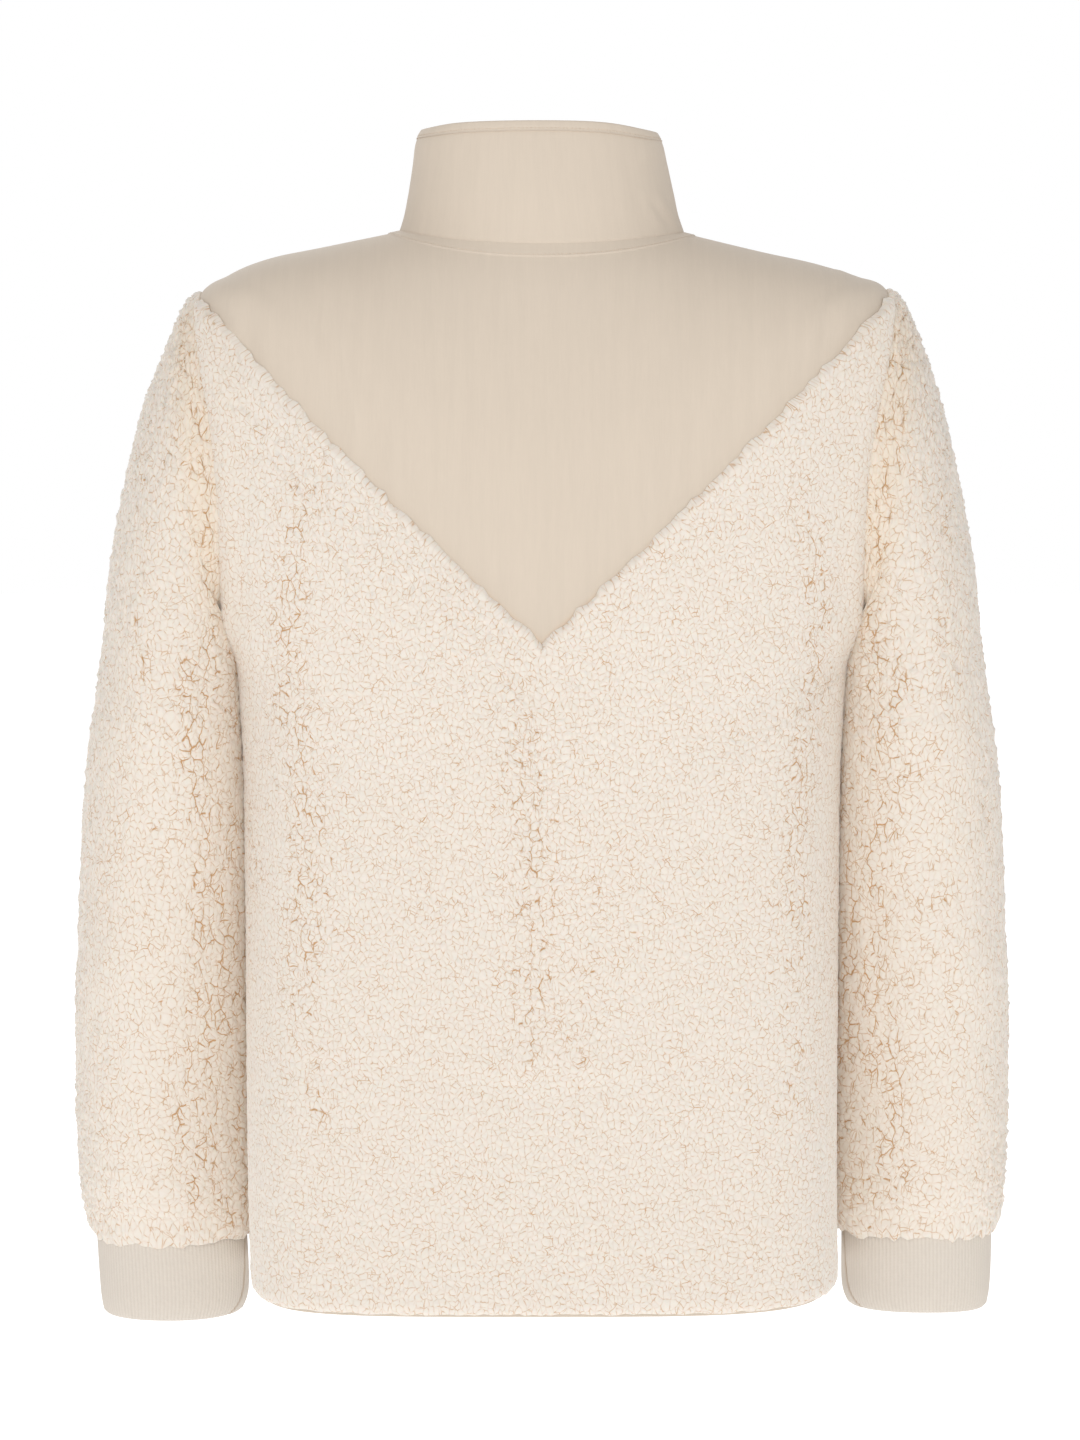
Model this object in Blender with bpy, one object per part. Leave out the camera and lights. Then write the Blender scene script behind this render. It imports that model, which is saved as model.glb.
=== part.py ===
"""A stand-collar, button-front top in curly pile, worn open-hollow as if on a body.

The wearer faces -Y, +Z is up, and +X is the wearer's left. The origin is the middle of the
neck opening at the height where the collar meets the shoulders. Sizes are in millimetres
and become metres when a mesh is made.

Each cloth surface is a function of two parameters. The body runs from the neck seam to the
hem (level 0 to 1) and round the wearer (angle 0 at the left side, 90 at the centre back,
-90 at the centre front). Every panel is a patch of that surface between its seams, so
neighbouring panels share one seam line and one seam direction, and their walls can't cross.
"""

import math

import bmesh
import bpy
import numpy as np

MM = 0.001

# Cloth
PILE = 6.0  # curly pile with its knitted backing
WOVEN = 1.5  # yoke cloth
COLLAR_CLOTH = 2.5  # two layers and an interlining
BAND_CLOTH = 1.7  # folded woven band
RIB_VALLEY = 1.7
RIB_CREST = 2.5
FACING = 1.2
FACING_GAP = 0.7  # between the facing and the panels that it lies inside
SEAM_SHARE = 0.42  # the pile is nipped to this share of its height where it is sewn
SECOND_SHARE = 0.86  # the next line in from a sewn edge has this share of its height
SIDE_SHARE = 0.75  # the share of its height at the side seams, where little shows
HEM_SHARE = 0.7
CREASE_SHARE = 0.86  # in a crease, each wall fills this much of the room up to the seam face
CREASE_LINES = 6  # a crease reaches this many lines in from the seam
LEAST_LEAN = 0.02
SEAM_GAP = 0.17  # from a seam line to each of its two pieces

# The body: half width, depths and heights of each ring from the neck seam to the hem.
# arch says how late a ring leaves the shoulder's height on its way to the back or front.
BODY = (
    # level, half_width, back_y, front_y, side_z, back_z, front_z, square, arch
    (0.00, 93.5, 76, -80, 0, -5.5, -76, 2.0, 2.2),
    (0.05, 116, 89, -97, -5, -30, -96, 2.0, 2.8),
    (0.12, 151, 103, -112, -12.5, -70, -128, 2.05, 3.4),
    (0.19, 184, 112, -121, -19, -108, -160, 2.1, 3.8),
    (0.25, 210, 117, -125, -27, -138, -188, 2.1, 4.0),
    (0.30, 228, 119, -127, -37, -165, -212, 2.1, 4.0),
    (0.35, 240, 120, -128, -74, -192, -234, 2.1, 4.0),
    (0.40, 243.5, 120, -128, -114, -219, -258, 2.1, 4.0),
    (0.46, 240, 120, -128, -162, -252, -286, 2.15, 4.0),
    (0.52, 229, 119, -127, -212, -288, -318, 2.25, 4.0),
    (0.56, 218, 119, -127, -246, -312, -338, 2.35, 4.0),
    (0.60, 205, 119, -126, -278, -338, -360, 2.45, 4.0),
    (0.66, 198.5, 119, -125, -332, -383, -400, 2.65, 4.0),
    (0.75, 195.5, 119, -125, -430, -458, -470, 3.0, 4.0),
    (0.87, 194.5, 120, -125, -570, -578, -581, 3.6, 4.0),
    (1.00, 194, 121, -125, -712, -712, -712, 4.2, 4.0),
)

# Soft folds of the body: where each stands round the body and down it, and its height.
BODY_FOLDS = (
    # angle, top_z, bottom_z, width_deg, height
    (41, -250, -700, 9, 2.6),
    (139, -230, -700, 10, 2.4),
    (66, -300, -640, 12, -2.2),
    (116, -320, -690, 11, -2.6),
    (90, -300, -560, 7, 1.6),
    (-38, -250, -700, 10, 2.6),
    (-143, -250, -690, 10, 2.8),
    (-62, -330, -700, 11, -2.4),
    (-119, -300, -640, 12, -2.2),
)
FOLD_FADE = 70.0  # a fold dies away over this height at each end

# How the top hangs unevenly, as slow shifts round a place: its middle and reach, then the shift.
HANG = (
    # centre_x, centre_z, radius_x, radius_z, shift_x, shift_z
    (240, -55, 90, 60, 0, -1.5),
    (236, -26, 30, 16, 0, -4.0),
    (-240, -55, 90, 60, -3.2, 1.5),
    (170, -15, 70, 60, 0, 1.6),
    (-170, -15, 70, 60, 0, -2.4),
    (-215, -22, 40, 30, 0, -2.6),
    (-78, 74, 24, 16, 0, -3.4),
    (78, 76, 16, 12, 0, -1.8),
    (0, 70, 140, 50, 2.6, 0),
    (-260, -740, 90, 70, -3.1, 4.0),
    (260, -740, 90, 70, -3.1, -2.0),
)

# Armhole: an oval on the body's surface, in degrees round and level down.
ARMHOLE_TOP, ARMHOLE_BOTTOM = 0.30, 0.60
ARMHOLE_BACK, ARMHOLE_FRONT = 30.0, 31.0
ARMHOLE_STEPS = 11  # lines along the armhole of the back, and as many of each front

# The yoke's V, seen square on: z = tip + slope * |x| + curve * x * x.
V_TIP_Z, V_SLOPE, V_CURVE = -267.0, 0.895, 0.0004
V_TOP_LEVEL, V_LOW_LEVEL = 0.05, 0.62  # the whole V lies between these levels
SHOULDER_SEAM = -7.0  # the shoulder seam lies this many degrees to the front

# Sleeve: each ring's outer and inner point, its middle and half depth.
SLEEVE = (
    # outer_x, outer_z, inner_x, inner_z, mid_y, half_depth, square
    (228, -37, 205, -278, 0, 60, 2.0),
    (236, -49, 210, -275.5, -1, 61, 2),
    (243.5, -66, 215, -275, -1, 62, 2),
    (254.5, -92, 217.5, -279, -2, 63, 2),
    (265, -121, 218, -290, -3, 64, 2.1),
    (277.5, -171, 216.4, -308, -4, 65, 2.1),
    (287.5, -225, 213.8, -332, -5, 66, 2.15),
    (294.2, -285, 211.8, -362, -6, 66, 2.2),
    (305.5, -360, 209.8, -406, -9, 65, 2.2),
    (311.5, -440, 208.3, -462, -14, 63, 2.2),
    (315.5, -520, 207.6, -530, -21, 60, 2.2),
    (318.2, -592, 207.6, -594, -30, 56, 2.2),
    (318, -640, 207.8, -638, -37, 51, 2.2),
    (317, -666, 208.3, -663, -40, 44, 2.15),
    (314.5, -681, 209.5, -679, -42, 37, 2.1),
    (311, -689, 210.7, -687, -42, 33.5, 2.1),
)
SLEEVE_FOLDS = (
    # angle, share down the sleeve, angle_width, length_share, slant, height
    (150, 0.40, 60, 0.030, 0.0006, -2.6),
    (95, 0.47, 55, 0.022, -0.0007, 2.4),
    (110, 0.58, 60, 0.024, 0.0005, -2.8),
    (60, 0.64, 50, 0.022, -0.0006, 2.4),
    (250, 0.60, 60, 0.026, 0.0006, -2.8),
    (230, 0.70, 60, 0.024, -0.0005, 2.4),
    (95, 0.80, 50, 0.020, 0.0004, -2.0),
    (300, 0.78, 50, 0.020, -0.0004, 2.0),
    (138, 0.34, 36, 0.045, -0.0060, 3.0),
    (150, 0.46, 36, 0.045, -0.0060, -3.0),
)
# Shares of the sleeve's length at its rings, closer at both seams
SLEEVE_LINES = (0, 0.012, 0.04, 0.08, 0.13, 0.20, 0.28, 0.36, 0.44, 0.52, 0.60,
                0.68, 0.76, 0.84, 0.91, 0.96, 1.0)
ARMHOLE_REACH = 0.3  # the sleeve turns from the armhole's shape to its own over this share
CUFF_END_SHARE = 0.62  # the pile's height where the sleeve is gathered into its cuff
CUFF = (
    # outer_x, outer_z, inner_x, inner_z, mid_y, half_depth, square
    (311, -689, 211.5, -687, -42, 33.5, 2.1),
    (311.4, -702, 211.0, -701, -43, 34.7, 2.15),
    (310.6, -738, 211.4, -737, -45, 34.7, 2.15),
    (308.4, -753, 216.0, -752, -45.5, 31.6, 2.1),
)
CUFF_RIBS = 92
CUFF_INNER_SIDES = 46

# Collar: rings of its inner surface, from the neck seam to the top edge.
COLLAR = (
    # share, half_width, back_y, front_y, side_z, back_z, front_z, square, arch
    (0.00, 93.5, 76, -80, 0, -5.5, -76, 2.0, 2.2),
    (0.12, 90.8, 75.5, -79.5, 8, 5, -67, 2.0, 2.0),
    (0.35, 87.0, 74, -78.5, 24, 24, -50, 2.05, 1.8),
    (0.65, 83.0, 70, -77, 45, 49, -27, 2.1, 1.6),
    (0.88, 80.0, 66, -75.5, 62, 67, -10, 2.15, 1.4),
    (1.00, 76.5, 64, -74.5, 70, 75, -1, 2.2, 1.3),
)
COLLAR_LINES = (0, 0.12, 0.38, 0.66)  # shares of the collar's rings, below the binding
BINDING_START = 0.895  # the top edge's binding begins at this share of the collar
BINDING = (
    # share of the collar, how far its inside stands out from the collar's, thickness
    (BINDING_START, 0.0, COLLAR_CLOTH),
    (BINDING_START + 0.02, -0.45, 3.4),
    (0.97, -0.45, 3.4),
    (1.0, 0.35, 1.87),
)

# Front fastening
BAND_HALF = 16.0
HEM_FACING_DROP = 4.3  # it shows this far below the pile
BUTTON_COUNT = 7
BUTTON_TOP_Z, BUTTON_STEP = -40.0, 104.0
BAND_GAP = 0.3
BAND_BODY_LINES = 15  # lines up a band over the body, before the one at the neck seam
BAND_NECK_SHARE = 0.86  # the share of a band's length at the neck seam
BAND_COLLAR_SHARES = (0.88, 0.93, 1.0)
BUTTON_RADIUS, BUTTON_THICK = 9.0, 3.0
BUTTON_RINGS = (
    # share of the radius, height
    (0.95, 0),
    (1, 1.5),
    (0.93, BUTTON_THICK),
    (0.80, 2.9),
    (0.68, 1.8),
)
BUTTON_SIDES = 12
BUTTON_HOLE_RADIUS, BUTTON_HOLE_SPREAD = 1.0, 1.75

COLOURS = {
    # name: base colour, roughness
    "pile": ((0.86, 0.77, 0.66), 0.95),
    "woven": ((0.73, 0.62, 0.50), 0.75),
    "rib": ((0.79, 0.70, 0.60), 0.85),
    "button": ((0.66, 0.54, 0.41), 0.35),
}


def clear_scene():
    for old in list(bpy.data.objects):
        bpy.data.objects.remove(old)


def smooth_rows(table, keys, at):
    """Every column of table at the given keys, on one smooth curve through the rows."""
    rows = np.array(table, float)
    keys = np.array(keys, float)
    at = np.clip(np.asarray(at, float), keys[0], keys[-1])
    slope = np.gradient(rows, keys, axis=0)
    i = np.clip(np.searchsorted(keys, at, side="right") - 1, 0, len(keys) - 2)
    step = (keys[i + 1] - keys[i])[..., None]
    t = ((at - keys[i]) / (keys[i + 1] - keys[i]))[..., None]
    a, b = rows[i], rows[i + 1]
    return (a * (1 + 2 * t) * (1 - t) ** 2 + slope[i] * step * t * (1 - t) ** 2
            + b * t * t * (3 - 2 * t) + slope[i + 1] * step * t * t * (t - 1))


def ring_point(row, angle):
    """A point of a body or collar ring, and how far it is from the side towards back or front."""
    half_width, back_y, front_y, side_z, back_z, front_z, square, arch = np.moveaxis(row, -1, 0)
    c, s = np.cos(angle), np.sin(angle)
    reach = (np.abs(c) ** square + np.abs(s) ** square) ** (-1 / square)
    share = np.clip(np.abs(s) * reach, 0, 1)
    end_z = np.where(s > 0, back_z, front_z)
    x = half_width * c * reach
    y = np.where(s > 0, back_y, -front_y) * s * reach
    return np.stack([x, y, side_z + (end_z - side_z) * share ** arch], axis=-1)


def body_fold(angle, z):
    """Height of the body's soft folds, all dying out towards their ends."""
    turn = np.degrees(angle)
    height = np.zeros(np.broadcast(turn, z).shape)
    for centre, top_z, bottom_z, width, amount in BODY_FOLDS:
        away = (turn - centre + 180) % 360 - 180
        ends = 1 / (1 + np.exp((z - top_z) / (FOLD_FADE / 4)))
        ends = ends / (1 + np.exp((bottom_z - z) / (FOLD_FADE / 4)))
        height += amount * np.exp(-(away / width) ** 2) * ends
    return height


def body_point(angle, level):
    """The body's cloth surface at an angle in radians and a level from neck to hem."""
    angle, level = np.broadcast_arrays(np.asarray(angle, float), np.asarray(level, float))
    keys = [row[0] for row in BODY]
    point = ring_point(smooth_rows([row[1:] for row in BODY], keys, level), angle)
    lift = body_fold(angle, point[..., 2])
    outward = np.stack([np.cos(angle) * 0.75, np.sin(angle), np.zeros_like(angle)], axis=-1)
    return point + outward * lift[..., None]


def collar_point(angle, share):
    angle, share = np.broadcast_arrays(np.asarray(angle, float), np.asarray(share, float))
    keys = [row[0] for row in COLLAR]
    return ring_point(smooth_rows([row[1:] for row in COLLAR], keys, share), angle)


def unit(vectors):
    return vectors / np.linalg.norm(vectors, axis=-1, keepdims=True)


def normal_of(surface, u, v, outward):
    """The outward normal of a surface. outward is 1 or -1, for the way its parameters run."""
    step = 1e-3
    across = surface(u + step, v) - surface(u - step, v)
    along = surface(u, v + step) - surface(u, v - step)
    return unit(np.cross(across, along)) * outward


def body_normal(angle, level):
    return normal_of(body_point, angle, np.clip(level, 0.001, 0.999), -1)


def collar_normal(angle, share):
    return normal_of(collar_point, angle, np.clip(share, 0.001, 0.999), 1)


def armhole(turn):
    """(angle, level) on the armhole at a turn in radians: 0 at the shoulder, positive behind."""
    reach = np.where(np.sin(turn) > 0, ARMHOLE_BACK, ARMHOLE_FRONT)
    middle = (ARMHOLE_TOP + ARMHOLE_BOTTOM) / 2
    half = (ARMHOLE_BOTTOM - ARMHOLE_TOP) / 2
    return np.radians(reach) * np.sin(turn), middle - half * np.cos(turn)


def armhole_turn(angle, level):
    """The turn of a point that lies on the armhole."""
    reach = np.where(angle > 0, ARMHOLE_BACK, ARMHOLE_FRONT)
    middle = (ARMHOLE_TOP + ARMHOLE_BOTTOM) / 2
    half = (ARMHOLE_BOTTOM - ARMHOLE_TOP) / 2
    return np.arctan2(angle / np.radians(reach), (middle - level) / half)


def sleeve_ring(table, turn, share):
    """A point of a sleeve or cuff ring, for the wearer's left arm."""
    row = smooth_rows(table, np.linspace(0, 1, len(table)), share)
    outer_x, outer_z, inner_x, inner_z, mid_y, half_depth, square = np.moveaxis(row, -1, 0)
    c, s = np.cos(turn), np.sin(turn)
    reach = (np.abs(c) ** square + np.abs(s) ** square) ** (-1 / square)
    x = (outer_x + inner_x) / 2 + (outer_x - inner_x) / 2 * c * reach
    z = (outer_z + inner_z) / 2 + (outer_z - inner_z) / 2 * c * reach
    return np.stack([x, mid_y + half_depth * s * reach, z], axis=-1)


def sleeve_fold(turn, share):
    height = np.zeros(np.broadcast(turn, share).shape)
    for centre, down, width, length, slant, amount in SLEEVE_FOLDS:
        away = (np.degrees(turn) - centre + 180) % 360 - 180
        height += amount * np.exp(-(away / width) ** 2
                                  - ((share - down - slant * away) / length) ** 2)
    return height


def sleeve_point(turn, share):
    """The left sleeve's cloth surface. Its first ring is the armhole itself."""
    turn, share = np.broadcast_arrays(np.asarray(turn, float), np.asarray(share, float))
    point = sleeve_ring(SLEEVE, turn, share)
    seam = body_point(*armhole(turn)) - sleeve_ring(SLEEVE, turn, np.zeros_like(turn))
    fade = np.clip(1 - share / ARMHOLE_REACH, 0, 1) ** 2
    point = point + seam * fade[..., None]
    lift = sleeve_fold(turn, share) * (0.55 + 0.45 * np.cos(turn))
    outward = np.stack([np.cos(turn), np.sin(turn), np.zeros_like(turn)], axis=-1)
    return point + outward * lift[..., None]


def cuff_point(turn, share):
    turn, share = np.broadcast_arrays(np.asarray(turn, float), np.asarray(share, float))
    return sleeve_ring(CUFF, turn, share)


def sleeve_normal(turn, share):
    return normal_of(sleeve_point, turn, np.clip(share, 0.001, 0.999), -1)


def cuff_normal(turn, share):
    return normal_of(cuff_point, turn, np.clip(share, 0.001, 0.999), -1)


def armhole_direction(turn):
    """The seam's own direction, half way between the body's and the sleeve's normals."""
    return unit(body_normal(*armhole(turn)) + sleeve_normal(turn, np.zeros_like(turn)))


def neck_direction(angle):
    level = np.zeros_like(angle)
    return unit(body_normal(angle, level) + collar_normal(angle, level))


def cuff_direction(turn):
    return unit(sleeve_normal(turn, np.ones_like(turn)) + cuff_normal(turn, np.zeros_like(turn)))


def solve(function, low, high):
    """Where a function that changes sign between low and high is zero, by halving."""
    low_value = function(low)
    for _ in range(50):
        middle = (low + high) / 2
        if (function(middle) > 0) == (low_value > 0):
            low = middle
        else:
            high = middle
    return (low + high) / 2


def above_v(point):
    """How far a point lies above the V seam."""
    x = abs(point[..., 0])
    return point[..., 2] - (V_TIP_Z + V_SLOPE * x + V_CURVE * x * x)


def v_end(sign):
    """The turn of the armhole where the V meets it, behind (sign 1) or in front (-1)."""
    return solve(lambda turn: float(above_v(body_point(*armhole(np.float64(sign * turn))))),
                 0.15, 1.2) * sign


def v_level(angle):
    """The level at which a line straight down the body crosses the V."""
    return solve(lambda level: float(above_v(body_point(angle, level))),
                 V_TOP_LEVEL, V_LOW_LEVEL)


def line_angle(level, x):
    """The angle, on the front, of the line that stays x from the centre."""
    def miss(angle):
        return float(body_point(angle, level)[..., 0]) - x
    return solve(miss, math.radians(-90), math.radians(-60))


def graded(count, edges, ends=(True, True)):
    """Shares from 0 to 1, with closer lines at the ends that are sewn."""
    inside = list(np.linspace(0, 1, count + 1))
    if ends[0]:
        inside = [0] + list(edges) + [x for x in inside if x > edges[-1] * 1.6]
    if ends[1]:
        tail = [1 - x for x in reversed(edges)] + [1]
        inside = [x for x in inside if x < 1 - edges[-1] * 1.6] + tail
    return np.array(inside)


def length_shares(points):
    """How far along a run of (angle, level) points each one is, from 0 to 1."""
    place = body_point(points[:, 0], points[:, 1])
    steps = np.linalg.norm(np.diff(place, axis=0), axis=1)
    return np.concatenate([[0], np.cumsum(steps)]) / steps.sum()


def spaced(points, shares):
    """(angle, level) points at shares of the length of a run."""
    points = np.array(points, float)
    length = length_shares(points)
    return np.stack([np.interp(shares, length, points[:, k]) for k in (0, 1)], axis=-1)


def straight(start, stop, shares):
    """(angle, level) points at shares of the line between two points."""
    run = [np.linspace(start[k], stop[k], 40) for k in (0, 1)]
    return spaced(np.stack(run, axis=-1), shares)


def patch(left, right, bottom, top):
    """(angle, level) of a grid between four edges, given from the bottom or the left."""
    p = (length_shares(bottom) + length_shares(top))[:, None, None] / 2
    q = (length_shares(left) + length_shares(right))[None, :, None] / 2
    l, r = left[None], right[None]
    b, t = bottom[:, None], top[:, None]
    return ((1 - p) * l + p * r + (1 - q) * b + q * t
            - (1 - p) * (1 - q) * b[:1] - p * (1 - q) * b[-1:]
            - (1 - p) * q * t[:1] - p * q * t[-1:])


def inset(points, axis, end, amount):
    """Moves one edge of a grid of points inwards, square to the edge."""
    points = np.swapaxes(points, 0, axis)
    edge, inner = (points[0], points[1]) if end == 0 else (points[-1], points[-2])
    run = unit(np.gradient(edge, axis=0))
    into = inner - edge
    into = unit(into - (into * run).sum(-1, keepdims=True) * run)
    points[0 if end == 0 else -1] += into * amount
    return np.swapaxes(points, 0, axis)


def edge_shares(lines, ends, share):
    """Thickness share at each grid line: nipped at a sewn end, full inside."""
    shares = np.ones(lines)
    if ends[0]:
        shares[:2] = share, SECOND_SHARE
    if ends[1]:
        shares[-2:] = SECOND_SHARE, share
    return shares


def settled(points):
    """The hang of the real top: small, slow shifts of everything sideways and up or down."""
    x, z = points[..., 0], points[..., 2]
    moved = points.copy()
    for centre_x, centre_z, radius_x, radius_z, shift_x, shift_z in HANG:
        near = np.exp(-((x - centre_x) / radius_x) ** 2 - ((z - centre_z) / radius_z) ** 2)
        moved[..., 0] += shift_x * near
        moved[..., 2] += shift_z * near
    return moved


def crease(base, out, height, direction):
    """Lowers a wall's heights, seam first, so that it stays on its own side of the seam."""
    for line in range(1, CREASE_LINES):
        into = base[line] - base[0]
        distance = np.linalg.norm(into, axis=-1)
        lean = (direction * into).sum(-1) / distance
        lean = np.maximum(lean, LEAST_LEAN)
        room = distance * (direction * out[line]).sum(-1) / lean * CREASE_SHARE
        height[line] = np.minimum(height[line], room)
        if line == 1:
            height[0] = np.minimum(height[0], distance / lean * CREASE_SHARE)


def pile_shares(grid, ends, sewn_in):
    """Height shares of a pile panel, nipped at its seams, less so at the side seam and hem."""
    columns, rows = grid.shape[:2]
    sides = np.minimum(edge_shares(columns, ends, SEAM_SHARE)[:, None], np.ones(rows))
    sides[-1, :sewn_in] = SIDE_SHARE
    sides[-2, :sewn_in] = 1
    shares = np.minimum(sides, edge_shares(rows, (False, True), SEAM_SHARE)[None])
    shares[:, 0] = np.minimum(shares[:, 0], HEM_SHARE)
    return shares


def wall(name, colour, base, outer, ring=False):
    """A closed wall lofted between two grids of points. ring says that the first axis closes.

    The two sides are given point by point, because where two panels meet in a fold
    both walls have to end on the same slanting seam face, which an even offset can't do.
    """
    count, rows = base.shape[:2]
    points = settled(np.concatenate([base.reshape(-1, 3), outer.reshape(-1, 3)])) * MM
    last = count if ring else count - 1

    def at(layer, i, j):
        return layer * count * rows + (i % count) * rows + j

    faces = []
    for i in range(last):
        for j in range(rows - 1):
            for layer in (0, 1):
                corners = [at(layer, i, j), at(layer, i + 1, j),
                           at(layer, i + 1, j + 1), at(layer, i, j + 1)]
                faces.append(corners if layer else corners[::-1])
        for j in (0, rows - 1):
            faces.append([at(0, i, j), at(0, i + 1, j), at(1, i + 1, j), at(1, i, j)])
    if not ring:
        for i in (0, count - 1):
            for j in range(rows - 1):
                faces.append([at(0, i, j), at(0, i, j + 1), at(1, i, j + 1), at(1, i, j)])
    mesh = bpy.data.meshes.new(name)
    mesh.from_pydata([tuple(p) for p in points], [], faces)
    return finish_mesh(name, colour, mesh)


def finish_mesh(name, colour, mesh):
    shape = bmesh.new()
    shape.from_mesh(mesh)
    bmesh.ops.recalc_face_normals(shape, faces=shape.faces)
    shape.to_mesh(mesh)
    shape.free()
    mesh.shade_smooth()
    mesh.set_sharp_from_angle(angle=math.radians(50))
    mesh.materials.append(material(colour))
    obj = bpy.data.objects.new(name, mesh)
    PART.objects.link(obj)
    return obj


def material(name):
    found = bpy.data.materials.get(name)
    if found:
        return found
    made = bpy.data.materials.new(name)
    made.use_nodes = True
    shader = made.node_tree.nodes["Principled BSDF"]
    colour, roughness = COLOURS[name]
    shader.inputs["Base Color"].default_value = (*colour, 1)
    shader.inputs["Roughness"].default_value = roughness
    shader.inputs["Metallic"].default_value = 0
    return made


def mirrored(points, side):
    return points * np.array([side, 1, 1])


def both_halves(points):
    """A half grid that starts at the centre line, with its mirror image before it."""
    return np.concatenate([mirrored(points[:0:-1], -1), points])


def body_panel(grid, height, sewn_in, neck=False):
    """Base points, directions and heights of a body panel. sewn_in are the rows of its last
    column that are sewn to the sleeve."""
    angle, level = grid[..., 0], grid[..., 1]
    base, out = body_point(angle, level), body_normal(angle, level)
    direction = armhole_direction(armhole_turn(angle[-1, sewn_in], level[-1, sewn_in]))
    crease(base[::-1, sewn_in], out[::-1, sewn_in], height[::-1, sewn_in], direction)
    out[-1, sewn_in] = direction
    if neck:
        out[:, -1] = neck_direction(angle[:, -1])
    return base, out, height[..., None]


def seamed(base, ends):
    """Insets the sewn edges of a grid. ends holds (axis, end) pairs."""
    for axis, end in ends:
        base = inset(base, axis, end, SEAM_GAP)
    return base


def v_run(start_angle, end_turn):
    """The V seam from the centre, or the band's edge, to the armhole."""
    end = armhole(np.float64(end_turn))
    angles = np.linspace(start_angle, float(end[0]), 40)
    levels = [v_level(a) for a in angles[:-1]]
    return np.stack([angles, levels + [float(end[1])]], axis=-1)


def front_edge(start_level, stop_level):
    """The line beside the front band, in (angle, level)."""
    levels = np.linspace(start_level, stop_level, 24)
    return np.array([(line_angle(level, BAND_HALF), level) for level in levels])


def armhole_points(turns):
    return np.stack(armhole(np.array(turns)), axis=-1)


def joined(first, second):
    """Two runs of points that share one end."""
    return np.concatenate([first, second[1:]])


class Seams:
    """Every seam's points, as (angle, level). Two pieces that meet use the same points."""

    def __init__(self):
        centre, shoulder = math.radians(90), math.radians(SHOULDER_SEAM)
        self.v_back, self.v_front = v_end(1), v_end(-1)
        self.shoulder_turn = solve(lambda t: float(armhole(np.float64(t))[0]) - shoulder,
                                   -1.2, 0.0)
        self.turns_back = np.linspace(math.pi, self.v_back, ARMHOLE_STEPS + 1)
        self.turns_yoke = np.linspace(self.v_back, self.shoulder_turn, 4)
        self.turns_yoke_front = np.linspace(self.v_front, self.shoulder_turn, 3)
        self.turns_front = np.linspace(-math.pi, self.v_front, ARMHOLE_STEPS + 1)
        across = graded(9, (0.014, 0.045), (False, True))
        across_front = graded(8, (0.022, 0.06))
        tip = v_level(centre)
        low = solve(lambda level: float(above_v(body_point(line_angle(level, BAND_HALF),
                                                           level))),
                    V_TOP_LEVEL, V_LOW_LEVEL)
        self.v_back_run = spaced(v_run(centre, self.v_back), across)
        self.hem_back = straight((centre, 1), (0, 1), across)
        self.neck_back = straight((centre, 0), (shoulder, 0), across)
        self.band_low, self.band_high = front_edge(1, low), front_edge(low, 0)
        self.v_front_run = spaced(v_run(self.band_low[-1][0], self.v_front), across_front)
        self.hem_front = straight(self.band_low[0], (0, 1), across_front)
        self.neck_front = straight(self.band_high[-1], (shoulder, 0), across_front)
        self.side = straight((0, 1), (0, ARMHOLE_BOTTOM), np.linspace(0, 1, 11))
        shoulder_end = [float(x) for x in armhole(np.float64(self.shoulder_turn))]
        self.shoulder = straight(shoulder_end, (shoulder, 0), graded(7, (0.02,), (False, True)))
        self.centre_low = ((centre, 1), (centre, tip))
        self.centre_high = ((centre, tip), (centre, 0))

    def sleeve_turns(self):
        """The armhole's points all round, from the shoulder's front edge and round the back."""
        runs = (self.turns_yoke[::-1], self.turns_back[::-1][1:],
                self.turns_front[1:] + 2 * math.pi, self.turns_yoke_front[1:-1] + 2 * math.pi)
        return np.concatenate(runs)


def back_panel(seams):
    """Back, cut in one, with the V taken out of its top edge."""
    right = joined(seams.side, armhole_points(seams.turns_back))
    left = straight(*seams.centre_low, length_shares(right))
    grid = patch(left, right, seams.hem_back, seams.v_back_run)
    rows = len(seams.side) - 1
    height = PILE * pile_shares(grid, (False, True), rows)
    base, out, height = body_panel(grid, height, slice(rows, None))
    base = seamed(base, ((0, 1), (1, 1)))
    wall("back", "pile", both_halves(base), both_halves(base + out * height))
    return base[:, :2], out[:, :2]


def back_yoke(seams):
    """Woven yoke: the V behind, over the shoulders to the shoulder seams in front."""
    right = joined(armhole_points(seams.turns_yoke), seams.shoulder)
    left = straight(*seams.centre_high, length_shares(right))
    grid = patch(left, right, seams.v_back_run, seams.neck_back)
    sewn_in = slice(0, len(seams.turns_yoke))
    height = np.full(grid.shape[:2], WOVEN)
    base, out, height = body_panel(grid, height, sewn_in, True)
    base = seamed(base, ((0, 1), (1, 0), (1, 1)))
    wall("yoke_back", "woven", both_halves(base), both_halves(base + out * height))


def front_yoke(seams, side):
    """Woven front yoke, from the shoulder seam to the band, ending in half a V."""
    right = joined(armhole_points(seams.turns_yoke_front), seams.shoulder)
    left = spaced(seams.band_high, length_shares(right))
    grid = patch(left, right, seams.v_front_run, seams.neck_front)
    sewn_in = slice(0, len(seams.turns_yoke_front))
    height = np.full(grid.shape[:2], WOVEN)
    base, out, height = body_panel(grid, height, sewn_in, True)
    base = seamed(base, ((0, 0), (0, 1), (1, 0), (1, 1)))
    wall("yoke_front_" + SIDES[side], "woven", mirrored(base, side),
         mirrored(base + out * height, side))


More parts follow.
